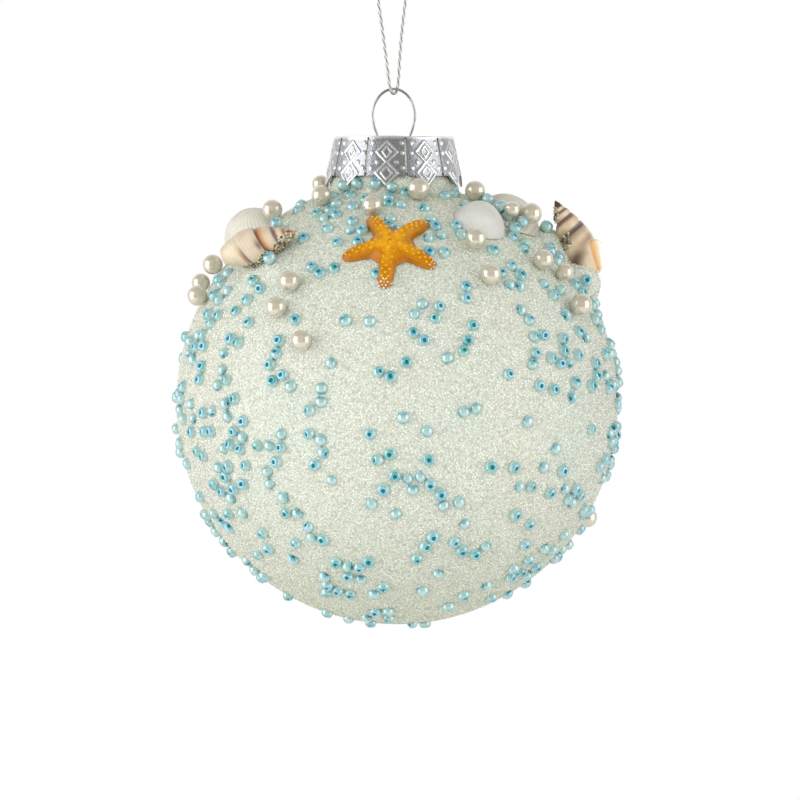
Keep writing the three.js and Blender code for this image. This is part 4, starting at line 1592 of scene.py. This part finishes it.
@dataclass
class Starfish:
    """Cast resin starfish that follows the ball, with rows of raised grains.

    Attributes:
        azimuth: place on the ball.
        elevation: place on the ball.
        thickness: in the middle.
        valley: from the middle to the valleys between the arms.
        spread: half width of an arm, in degrees.
        arms: turn and length of each arm.
        grain: diameter of a raised grain.
        grain_pitch: distance between two grains of a row.
        row_gap: distance of the outer rows from an arm's middle row, at the arm's root.
        row_taper: how much that distance shrinks with each millimetre along the arm.
        edge: share of the way to the outline where the grains end.
    """

    azimuth: float = -2.2
    elevation: float = 44.6
    thickness: float = 2.7
    valley: float = 5.4
    spread: float = 14.5
    arms: tuple[tuple[float, float], ...] = (
        (-25.0, 11.9), (39.6, 12.2), (116.5, 11.3), (186.5, 11.7), (258.5, 11.2),
    )
    grain: float = 0.95
    grain_pitch: float = 1.6
    row_gap: float = 1.25
    row_taper: float = 0.06
    edge: float = 0.93

    def covers(self, out: Vector, margin: float) -> bool:
        """Whether the starfish, with a margin round it, lies in a direction."""
        local = seat(self.azimuth, self.elevation).inverted() @ (out * BALL_RADIUS)
        turn = math.degrees(math.atan2(local.x, local.y))
        return local.z > -20 and math.hypot(local.x, local.y) < self.reach(turn) + margin

    def reach(self, turn: float) -> float:
        """Distance from the middle to the outline at a turn from north towards east."""
        reach = self.valley
        for arm, length in self.arms:
            off = abs((turn - arm + 540) % 360 - 180)
            swell = math.exp(-((off / self.spread) ** 3))
            reach = max(reach, self.valley + (length - self.valley) * swell)
        return reach

    def height(self, share: float) -> float:
        """Height of the top at a share of the way to the outline."""
        return self.thickness * math.sqrt(max(0.0, 1 - share**2.4))

    def local(self, turn: float, share: float, high: float) -> Vector:
        """Point above the coat at a turn, a share of the reach and a height."""
        reach = self.reach(turn) * share
        x, y = reach * math.sin(math.radians(turn)), reach * math.cos(math.radians(turn))
        return Vector((x, y, GAP + high - coat_drop(x, y)))

    def body(self) -> bpy.types.Object:
        """Make the resin body with rounded flanks."""
        turns: list[float] = []
        for arm, _ in self.arms:
            turns += [arm + step for step in range(-34, 35, 2)]
        turns = sorted({round(t % 360, 1) for t in turns}, reverse=True)
        place = seat(self.azimuth, self.elevation)
        shares = (0.1, 0.22, 0.35, 0.48, 0.6, 0.7, 0.79, 0.86, 0.92, 0.96, 0.985)
        rings = [(s, self.height(s)) for s in shares]
        rings += [(1.0, 0.45), (0.985, 0.12), (0.93, 0.0), (0.6, 0.0)]
        points = [place @ self.local(0, 0, self.thickness)]
        # Height share, which the resin's colour turns into a painted highlight on top and painted
        # shade on the flanks.
        rise = [1.0]
        for share, high in rings:
            points += [place @ self.local(turn, share, high) for turn in turns]
            rise += [high / self.thickness] * len(turns)
        points.append(place @ self.local(0, 0, 0))
        rise.append(0.0)
        made = make_object("starfish_body", points, ring_faces(len(turns), len(rings)), {
            "rise": rise})
        return hand_over(made, Finishes.RESIN.value, "starfish")

    def grains(self) -> bpy.types.Object:
        """Set rows of raised grains along each arm and over the middle."""
        place = seat(self.azimuth, self.elevation)
        grains = SetOut()
        for arm, length in self.arms:
            steps = int(length * self.edge / self.grain_pitch)
            for k in range(steps + 1):
                along = 0.7 + k * self.grain_pitch
                for row in (-1, 0, 1):
                    side = row * (self.row_gap - self.row_taper * along)
                    shift = along + (0.5 * self.grain_pitch if row else 0.0)
                    turn = arm + math.degrees(math.atan2(side, shift))
                    share = math.hypot(side, shift) / self.reach(turn)
                    if share < self.edge and (row == 0 or along > self.grain_pitch):
                        grains.places.append(place @ self.local(turn, share, self.height(share)))
                        grains.sizes.append(1.0 - 0.25 * along / length if row == 0 else 0.78)
        grains.aims = list(place.to_euler()) * len(grains.places)
        grains.tones = [0.5] * len(grains.places)
        radius = self.grain / 2
        dome = [Vector((0, 0, -radius * 0.4))]
        for angle in (-0.3, 0.3, 0.75, 1.15):
            dome += circle(radius * math.cos(angle), radius * 0.9 * math.sin(angle), 10)
        dome.append(Vector((0, 0, radius * 0.9)))
        # The grains take the resin's painted highlight of the top.
        return grains.build(
            "starfish_grains", Finishes.RESIN.value, "starfish", dome,
            [f[::-1] for f in ring_faces(10, 4)], rise=[1.0] * len(dome),
        )


class Whorl(Enum):
    """Part of a whelk that a stripe lies on."""

    BODY = "last whorl"
    SECOND = "whorl before it"
    SPIRE = "small whorls of the spire"


@dataclass(frozen=True)
class Stripe:
    """Soft stripe of colour along the whorls of a whelk.

    Attributes:
        mark: the marking that it adds to.
        whorls: the whorls that carry it.
        strength: its value along its middle.
        middle: place of its middle between two sutures, in turns.
        width: its width, in turns.
        turn: middle of its stretch about the shell in degrees, none if it runs all round.
        stretch: width of that stretch.
    """

    mark: str
    whorls: tuple[Whorl, ...]
    strength: float
    middle: float
    width: float
    turn: float | None = None
    stretch: float = 1.0

    def at(self, within: float, turn: float) -> float:
        """Value of the stripe between two sutures and at a turn about the shell."""
        value = self.strength * bell(within, self.middle, self.width)
        return value if self.turn is None else value * bell(turn, self.turn, self.stretch)


@dataclass
class Whelk:
    """Banded whelk lying on the coat: whorls between sutures, a mouth and a flared lip.

    Attributes:
        name: name of the piece and of the CAD node.
        finish: its finish.
        azimuth: place on the ball.
        elevation: place on the ball.
        heading: the way the spire points, from east towards north.
        tilt: lift of the spire off the ball, in degrees.
        lift: of the whole shell.
        length: from the spire to the canal.
        radius: of its widest whorl.
        last_suture: from the spire to the last suture.
        whorl_ratio: growth from one whorl to the next.
        lip_turn: turn of the lip about the shell.
        mouth: depth of the mouth.
        lip: flare of the lip.
        sutures: distance of the last suture from the spire and growth from one to the next.
        stripes: its bands and warm zones.
        tip_band: value of the band on the tip of the spire.
        outline: distance from the spire and radius, as shares of the length and the radius.
        mouth_end: share of the length where the mouth ends.
        mouth_turn: width of the mouth in degrees.
        lip_spread: width of the lip's flare in degrees.
        tip: share of the length that the tip takes up.
        ripple: height of the fine threads along the whorls, as a share of the radius.
        ripples: number of those threads between two sutures.
    """

    name: str
    finish: Finish
    azimuth: float
    elevation: float
    heading: float
    tilt: float
    lift: float
    length: float
    radius: float
    last_suture: float
    whorl_ratio: float
    lip_turn: float
    mouth: float
    lip: float
    sutures: tuple[float, float]
    stripes: tuple[Stripe, ...]
    tip_band: float
    outline: tuple[tuple[float, float], ...] = (
        (0, 0.03), (0.06, 0.2), (0.2, 0.52), (0.36, 0.82), (0.55, 1), (0.7, 0.95), (0.84, 0.74),
        (0.94, 0.55), (1, 0.38),
    )
    mouth_end: float = 0.97
    mouth_turn: float = 62.0
    lip_spread: float = 20.0
    tip: float = 0.09
    ripple: float = 0.006
    ripples: int = 9

    def envelope(self, share: float) -> float:
        """Outline of the shell as a share of its radius."""
        for (start, low), (end, high) in zip(self.outline, self.outline[1:]):
            if share <= end:
                mix = (share - start) / (end - start)
                return low + (high - low) * (mix * mix * (3 - 2 * mix) * 0.4 + mix * 0.6)
        return self.outline[-1][1]

    def surface(self, distance: float, turn: float) -> tuple[float, dict[str, float]]:
        """Radius and markings at a distance from the spire and a turn about the shell.

        Args:
            distance: millimetres from the spire.
            turn: degrees about the shell from its outward side.

        Returns:
            The radius, and the value of each marking from 0 to 1.
        """
        share = distance / self.length
        radius = self.radius * self.envelope(share)
        turns = math.fmod(math.fmod(turn - self.lip_turn, 360) - 360, 360) / 360
        coil = math.log(distance / self.sutures[0]) / math.log(self.sutures[1]) + turns + 1
        within = coil - math.floor(coil)
        marks = {"band": 0.0, "warm": 0.0, "mouth": 0.0, "lip": 0.0}
        if coil < 0:
            radius *= 0.88 + 0.14 * math.sin(math.pi * min(within * 1.15, 1)) ** 0.5
            suture_shade = math.exp(-((min(within, 1 - within) / 0.05) ** 2))
            whorl = Whorl.SPIRE if coil < -1 else Whorl.SECOND
        else:
            radius *= 0.92 + 0.08 * min(coil / 0.16, 1) ** 0.5
            suture_shade = math.exp(-((coil / 0.04) ** 2))
            within = coil
            whorl = Whorl.BODY
        for stripe in self.stripes:
            if whorl in stripe.whorls:
                marks[stripe.mark] += stripe.at(within, turn)
        # The suture's groove is darkened as painted shade, carried in the band.
        marks["band"] = min(1.0, marks["band"] + 0.35 * suture_shade)
        if distance < self.length * self.tip:
            marks["warm"], marks["band"] = 1.0, self.tip_band
        from_lip = -turns * 360
        top = self.last_suture * self.whorl_ratio
        if distance > top and share < self.mouth_end:
            along = (distance - top) / (self.length * self.mouth_end - top)
            opened = math.sin(math.pi * along) ** 0.5
            across = min(from_lip / 12, (self.mouth_turn - from_lip) / 30, 1)
            beside = min(from_lip, 360 - from_lip) / self.lip_spread
            flare = math.exp(-(beside**2))
            radius *= 1 + opened * (self.lip * flare - self.mouth * max(across, 0))
            marks["mouth"] = min(1.0, 1.6 * opened * max(across, 0.0))
            marks["lip"] = min(1.0, 1.4 * opened * math.exp(-((beside * 2.6) ** 2)))
        radius *= 1 + self.ripple * math.sin(coil * 2 * math.pi * self.ripples)
        return radius, {key: min(max(value, 0.0), 1.0) for key, value in marks.items()}

    def build(self) -> bpy.types.Object:
        """Make the shell, its markings carried as attributes."""
        around, stations = 96, 130
        spire = self.length * 0.55
        place = (
            seat(self.azimuth, self.elevation, GAP + self.radius + self.lift)
            @ Matrix.Rotation(math.radians(self.heading), 4, "Z")
            @ Matrix.Rotation(-math.radians(self.tilt), 4, "Y")
        )
        marks: dict[str, list[float]] = {"band": [], "warm": [], "mouth": [], "lip": []}
        points = [place @ Vector((spire, 0, 0))]
        for key, values in marks.items():
            values.append(1.0 if key == "warm" else 0.0)
        for k in range(stations):
            distance = self.length * (0.012 + 0.976 * (k / (stations - 1)) ** 0.9)
            for i in range(around):
                turn = i * 360 / around
                radius, found = self.surface(distance, turn)
                turn = math.radians(turn)
                points.append(place @ Vector((
                    spire - distance, -radius * math.sin(turn), radius * math.cos(turn))))
                for key, value in found.items():
                    marks[key].append(value)
        points.append(place @ Vector((spire - self.length, 0, 0)))
        for values in marks.values():
            values.append(0.0)
        made = make_object(f"{self.name}_shell", points, ring_faces(around, stations), marks)
        return hand_over(made, self.finish, self.name)


LEFT_STRIPES = (
    Stripe("band", (Whorl.SPIRE,), 0.35, 0.2, 0.16),
    Stripe("warm", (Whorl.SPIRE,), 1.0, 0.25, 0.22),
    Stripe("band", (Whorl.SECOND,), 0.9, 0.15, 0.12),
    Stripe("band", (Whorl.SECOND,), 0.75, 0.99, 0.06),
    Stripe("warm", (Whorl.SECOND,), 1.0, 0.0, 0.07),
    Stripe("warm", (Whorl.SECOND,), 1.0, 0.93, 0.22),
    Stripe("band", (Whorl.BODY,), 0.9, 0.68, 0.045, turn=88, stretch=46),
    Stripe("band", (Whorl.BODY,), 0.8, 0.1, 0.09, turn=58, stretch=20),
    Stripe("warm", (Whorl.BODY,), 0.8, 0.75, 0.04, turn=88, stretch=46),
)
RIGHT_STRIPES = (
    Stripe("band", (Whorl.SPIRE, Whorl.SECOND), 0.9, 0.13, 0.13),
    Stripe("warm", (Whorl.SPIRE, Whorl.SECOND), 0.8, 0.28, 0.14),
    Stripe("band", (Whorl.BODY,), 0.95, 0.17, 0.19),
    Stripe("band", (Whorl.BODY,), 0.6, 1.1, 0.2, turn=235, stretch=50),
    Stripe("band", (Whorl.BODY,), 0.5, 0.85, 0.16, turn=310, stretch=30),
    Stripe("warm", (Whorl.BODY,), 0.35, 0.44, 0.12),
    Stripe("warm", (Whorl.BODY,), 0.8, 1.1, 0.2, turn=235, stretch=50),
)


def bell(value: float, middle: float, width: float) -> float:
    """Smooth hump of height 1 around a middle."""
    return math.exp(-(((value - middle) / width) ** 2))


class Relief(Enum):
    """How the outside of a valve is raised."""

    SMOOTH = "one soft ridge"
    GROWTH = "rings of growth"
    RIBS = "ribs from the hinge"


@dataclass
class Valve:
    """Single valve of a bivalve, cupped over the coat, with a true wall.

    Attributes:
        name: name of the piece and of the CAD node.
        finish: its finish.
        relief: how its outside is raised.
        azimuth: place on the ball.
        elevation: place on the ball.
        turn: turn of the hinge from south towards east.
        width: across.
        height: from the hinge to the rim.
        crown: rise of the dome.
        umbo_turn: turn of the point that the ribs and rings run round, from south to east.
        umbo_reach: how far out that point lies, as a share of the whole width or height.
        wall: thickness.
        ribs: number of ribs all round, if they were carried on.
        ring_pitch: distance between rings of growth.
    """

    name: str
    finish: Finish
    relief: Relief
    azimuth: float
    elevation: float
    turn: float
    width: float
    height: float
    crown: float
    umbo_turn: float
    umbo_reach: float = 0.46
    wall: float = 0.9
    ribs: int = 66
    ring_pitch: float = 0.7

    def raised(self, x: float, y: float, share: float) -> tuple[float, float]:
        """Height of the relief, in millimetres, and how deep in a furrow the point lies."""
        aim = math.radians(self.umbo_turn - self.turn)
        umbo = (self.width * math.sin(aim), -self.height * math.cos(aim))
        off = Vector((x, y)) - Vector(umbo) * self.umbo_reach
        angle, distance = math.atan2(off.x, off.y) + aim, off.length
        edge = min(1.0, (1 - share) * 14)
        if self.relief is Relief.RIBS:
            wave = math.cos(angle * self.ribs)
            depth = 0.1 * min(1.0, distance / 4.0) * (0.35 + 0.65 * edge)
            return depth * wave, max(0.0, -wave) ** 0.7
        wave = math.cos(2 * math.pi * distance / self.ring_pitch + 0.6 * math.cos(angle * 2))
        if self.relief is Relief.GROWTH:
            shown = min(1.0, max(0.0, share - 0.35) * 2.4)
            return 0.08 * wave * edge * shown, max(0.0, -wave) * 0.9 * shown
        ridge = 0.25 * math.exp(-((math.degrees(angle) - 18) / 12) ** 2)
        return ridge * edge * min(1.0, distance / 6.0), 0.0

    def point(self, share: float, turn: float, inside: bool) -> tuple[Vector, float]:
        """Point of the outside or the inside, and how deep in a furrow it lies."""
        wall = self.wall if inside else 0.0
        hinge = (1 + math.cos(math.radians(turn))) / 2
        reach_x = (self.width / 2 - wall) * (1 - 0.22 * hinge**2)
        reach_y = self.height / 2 - wall
        x = share * reach_x * math.sin(math.radians(turn))
        y = -share * reach_y * math.cos(math.radians(turn))
        high = (self.crown - wall) * (1 - share**2.4) ** 0.75
        rise, furrow = (0.0, 0.0) if inside else self.raised(x, y, share)
        return Vector((x, y, GAP + high + rise - coat_drop(x, y))), furrow

    def build(self) -> bpy.types.Object:
        """Make the valve."""
        around = 220 if self.relief is Relief.RIBS else 120
        shares = [math.sin(math.pi / 2 * k / 44) for k in range(1, 45)]
        rings = [(share, False) for share in shares]
        rings += [(share, True) for share in (1.0, 0.93, 0.8, 0.6, 0.35, 0.12)]
        place = seat(self.azimuth, self.elevation) @ Matrix.Rotation(
            math.radians(self.turn), 4, "Z")
        points = [place @ self.point(0.0, 0.0, False)[0]]
        furrow = [0.0]
        for share, inside in rings:
            for i in range(around):
                point, deep = self.point(share, i * 360 / around, inside)
                points.append(place @ point)
                furrow.append(deep)
        points.append(place @ self.point(0.0, 0.0, True)[0])
        furrow.append(0.0)
        made = make_object(
            f"{self.name}_shell", points, ring_faces(around, len(rings)), {"furrow": furrow})
        return hand_over(made, self.finish, self.name)


@dataclass
class Pearls:
    """Cream pearls glued on the coat, each in the place of its CAD node.

    Attributes:
        names: names of the pearls' CAD nodes.
        around: points around a pearl.
    """

    names: Sequence[str] = field(
        default_factory=lambda: sorted(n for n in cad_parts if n.startswith("pearl_")))
    around: int = 32

    def middle(self, name: str) -> tuple[Vector, float]:
        """Middle of a pearl around the middle of the ball, and its radius, in millimetres."""
        low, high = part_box(name)
        low, high = Vector(low) / MM, Vector(high) / MM
        return (low + high) / 2 - BALL_CENTRE, (high - low)[2] / 2

    def spots(self) -> list[tuple[float, float]]:
        """Azimuth and elevation of each pearl."""
        found = []
        for name in self.names:
            out = self.middle(name)[0].normalized()
            found.append((math.degrees(math.atan2(out.x, -out.y)), math.degrees(math.asin(out.z))))
        return found

    def build(self) -> None:
        """Make every pearl as a fine ball."""
        rows = self.around // 2
        for name in self.names:
            middle, radius = self.middle(name)
            points = [middle + Vector((0, 0, -radius))]
            for k in range(1, rows):
                angle = math.pi * k / rows - math.pi / 2
                for i in range(self.around):
                    turn = 2 * math.pi * i / self.around
                    points.append(middle + radius * Vector((
                        math.cos(angle) * math.cos(turn), math.cos(angle) * math.sin(turn),
                        math.sin(angle))))
            points.append(middle + Vector((0, 0, radius)))
            faces = [f[::-1] for f in ring_faces(self.around, rows - 1)]
            made = make_object(f"{name}_lacquered", points, faces)
            hand_over(made, Finishes.PEARL.value, name)


@dataclass
class Crust:
    """Microbeads that crept over the foot of a shell or the tip of an arm.

    Attributes:
        finish: finish of the beads.
        patches: azimuth, elevation and radius of each patch, and its height above the coat.
        pitch: smallest distance between two beads.
        radius: radius of a bead.
        seed: start of the row of numbers.
    """

    finish: Finish
    patches: Sequence[tuple[float, float, float, float]]
    pitch: float = 0.5
    radius: float = 0.3
    seed: int = 77

    def fits(self, point: Vector) -> bool:
        """Whether a point lies in one of the patches."""
        high = point.length - BALL_RADIUS
        out = point.normalized()
        for azimuth, elevation, radius, top in self.patches:
            off = (out - outward(azimuth, elevation)).length * BALL_RADIUS / radius
            if off < 1 and high < top * (1 - off**3):
                return True
        return False

    def build(self, name: str, hosts: Sequence[bpy.types.Object]) -> bpy.types.Object:
        """Set the beads on the hosts' surfaces as one piece."""
        numbers = SeededNumbers(self.seed)
        spots = [
            (Vector(v.co) / MM - BALL_CENTRE, Vector(v.normal))
            for host in hosts for v in host.data.vertices
        ]
        spots = [(p, n) for p, n in spots if self.fits(p)]
        spots = [spot for _, spot in sorted((numbers.next(), spot) for spot in spots)]
        beads = SetOut()
        for point, normal in spots:
            if all((point - other).length > self.pitch for other in beads.places):
                beads.places.append(point)
                beads.aims += normal.to_track_quat("Z", "Y").to_euler()
        beads.sizes = [0.8 + 0.4 * numbers.next() for _ in beads.places]
        beads.tones = [numbers.next() for _ in beads.places]
        sides = 6
        rings = circle(self.radius, -0.12, sides) + circle(self.radius, 0.1, sides)
        dome = [Vector((0, 0, -0.15)), *rings, Vector((0, 0, self.radius * 1.2))]
        faces = [f[::-1] for f in ring_faces(sides, 2)]
        return beads.build(name, self.finish, "glass_ball", dome, faces)


# Studio


@dataclass(frozen=True)
class Lamp:
    """Soft light that faces the bauble.

    Attributes:
        name: name of the light.
        azimuth: degrees from the front to the right.
        elevation: degrees above the bauble.
        size: width and height in metres.
        power: in watts.
        distance: from the bauble, in metres.
        mirrored: whether it shows in gloss and metal.
    """

    name: str
    azimuth: float
    elevation: float
    size: tuple[float, float]
    power: float
    distance: float = 1.0
    mirrored: bool = True

    def hang(self, target: Vector) -> None:
        """Hang the light at its distance from a target in metres."""
        data = bpy.data.lights.new(self.name, "AREA")
        data.shape, data.energy = "RECTANGLE", self.power
        data.size, data.size_y = self.size
        made = bpy.data.objects.new(self.name, data)
        bpy.context.scene.collection.objects.link(made)
        out = outward(self.azimuth, self.elevation)
        made.location = target + out * self.distance
        made.rotation_euler = (-out).to_track_quat("-Z", "Y").to_euler()
        made.visible_camera = False
        made.visible_glossy = self.mirrored


@dataclass
class Studio:
    """Pale floor far below the bauble, soft lights round it and the camera in front.

    Attributes:
        distance: from the camera to the bauble, in metres.
        elevation: camera above the horizon, in degrees.
        field: width of the picture at the bauble, in metres.
        target: point in the middle of the picture, in metres.
        floor: height of the floor, in metres.
        floor_radius: its radius, in metres.
        fill: strength of the light from all round.
        shine: strength that gloss and metal mirror, from the front and from the back.
        lamps: the soft lights.
    """

    distance: float = 3.6
    elevation: float = 0.6
    field: float = 0.18182
    target: tuple[float, float, float] = (0.00141, 0.0, -0.09677)
    floor: float = -0.62
    floor_radius: float = 1.2
    fill: float = 0.46
    shine: tuple[float, float] = (0.42, 1.0)
    lamps: tuple[Lamp, ...] = (
        Lamp("soft light left", -71.0, 4.0, (1.0, 1.15), 6.6),
        Lamp("soft light right", 69.0, 4.0, (0.95, 1.1), 4.8),
        Lamp("soft light front", -4.0, 16.0, (2.4, 2.0), 38.0, distance=2.4, mirrored=False),
        Lamp("soft light back", 178.0, 14.0, (0.8, 0.8), 16.0, distance=2.4, mirrored=False),
    )

    def camera(self) -> None:
        """Set the camera at the photograph's angle."""
        data = bpy.data.cameras.new("camera")
        data.lens = data.sensor_width * self.distance / self.field
        data.clip_start, data.clip_end = 0.05, 50.0
        made = bpy.data.objects.new("camera", data)
        bpy.context.scene.collection.objects.link(made)
        tilt = math.radians(self.elevation)
        back = Vector((0.0, -math.cos(tilt), math.sin(tilt)))
        made.location = Vector(self.target) + back * self.distance
        made.rotation_euler = (-back).to_track_quat("-Z", "Y").to_euler()
        bpy.context.scene.camera = made

    def world(self) -> None:
        """Surround the bauble with plain pale light, white behind it as paper would be."""
        world = bpy.data.worlds.new("studio")
        world.use_nodes = True
        tree = world.node_tree
        tree.nodes.clear()
        rays = add_node(tree, "ShaderNodeLightPath").outputs
        pale = linear("#fdfdfa")
        light = add_node(tree, "ShaderNodeBackground", Color=pale, Strength=self.fill)
        aim = add_node(tree, "ShaderNodeTexCoord").outputs["Generated"]
        back = add_node(tree, "ShaderNodeSeparateXYZ", Vector=aim).outputs["Y"]
        shine = add_node(
            tree, "ShaderNodeMapRange", Value=back, From_Min=0.0, From_Max=0.8,
            To_Min=self.shine[0], To_Max=self.shine[1])
        backdrop = add_node(
            tree, "ShaderNodeBackground", Color=pale, Strength=shine.outputs[0])
        paper = add_node(
            tree, "ShaderNodeBackground", Color=(1.0, 1.0, 1.0, 1.0), Strength=1.0)
        mirrored = add_node(
            tree, "ShaderNodeMixShader", Fac=rays["Is Glossy Ray"], Shader=light.outputs[0],
            Shader_001=backdrop.outputs[0])
        mixed = add_node(
            tree, "ShaderNodeMixShader", Fac=rays["Is Camera Ray"], Shader=mirrored.outputs[0],
            Shader_001=paper.outputs[0])
        add_node(tree, "ShaderNodeOutputWorld", Surface=mixed.outputs[0])
        bpy.context.scene.world = world

    def ground(self) -> None:
        """Lay the pale round floor."""
        around = 64
        low = self.floor / MM
        points = [Vector((0, 0, low)), *circle(self.floor_radius / MM, low, around)]
        faces = [(0, 1 + i, 1 + (i + 1) % around) for i in range(around)]
        made = make_object("floor", [p - BALL_CENTRE for p in points], faces)
        made.data.materials.append(Finishes.PAPER.value.material())
        made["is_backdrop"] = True

    def build(self) -> None:
        """Set up the studio."""
        bpy.context.scene.view_settings.view_transform = "Standard"
        self.camera()
        self.world()
        self.ground()
        for lamp in self.lamps:
            lamp.hang(Vector(self.target))


def main() -> None:
    """Build the studio and the bauble, piece by piece."""
    logging.basicConfig(level=logging.INFO, format="%(message)s")
    cad_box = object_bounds()
    Studio().build()
    HangingCord().build()
    WireHanger().build()
    cap = PressedCap()
    cap.build(hole_spacing=7.3, hole=1.7)
    cap.filled_slits()
    ball = CoatedBall()
    ball.shell()
    ball.microbeads()
    pearls = Pearls()
    star = Starfish()
    SeedBeads(pearls.spots(), star, ball).build()
    pearls.build()
    arms = star.body()
    star.grains()
    left = Whelk(
        "whelk_left", Finishes.WHELK_LEFT.value, azimuth=-50.6, elevation=41.0, heading=38,
        tilt=-13, lift=0, length=18.2, radius=4.4, last_suture=9.6, whorl_ratio=1.85,
        lip_turn=190, mouth=0.25, lip=0.12, sutures=(12.3, 2.0), stripes=LEFT_STRIPES,
        tip_band=0.1,
    ).build()
    right = Whelk(
        "whelk_right", Finishes.WHELK_RIGHT.value, azimuth=86.3, elevation=41.9, heading=90,
        tilt=14, lift=0.75, length=19.4, radius=3.9, last_suture=6.9, whorl_ratio=1.74,
        lip_turn=8, mouth=0.6, lip=0.45, sutures=(11.2, 1.68), stripes=RIGHT_STRIPES,
        tip_band=0.9,
    ).build()
    Valve(
        "smooth_valve", Finishes.SMOOTH_VALVE.value, Relief.SMOOTH, azimuth=40.3,
        elevation=54.6, turn=40, width=13.4, height=12.2, crown=4.4, umbo_turn=40,
    ).build()
    Valve(
        "clam_valve", Finishes.CLAM_VALVE.value, Relief.GROWTH, azimuth=71.5, elevation=57.3,
        turn=-75, width=15.4, height=17.4, crown=4.7, umbo_turn=-60, umbo_reach=0.42,
    ).build()
    Valve(
        "ribbed_valve", Finishes.RIBBED_VALVE.value, Relief.RIBS, azimuth=-81.5, elevation=49.0,
        turn=78, width=15.8, height=14.0, crown=6.3, umbo_turn=180, umbo_reach=0.33,
    ).build()
    Crust(Finishes.STAINED.value, (
        (-41.8, 43.8, 4.4, 5.0), (-46.7, 40.3, 5.0, 4.7), (-50.2, 36.3, 5.2, 3.7),
        (84.0, 51.0, 3.2, 7.5), (79.5, 44.5, 3.3, 5.5), (78.0, 37.5, 2.8, 4.6),
        (82.0, 31.5, 3.2, 6.0),
    )).build("crust_on_shells", [left, right])
    Crust(Finishes.MICROBEADS.value, (
        (12.8, 38.4, 2.2, 2.8), (-3.8, 31.8, 2.2, 2.8),
    ), 0.7, 0.24).build("crust_on_starfish", [arms])
    boxes = {"cad": cad_box, "scene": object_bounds()}
    plain = {key: [[float(v) for v in corner] for corner in box] for key, box in boxes.items()}


if __name__ == "__main__":
    main()
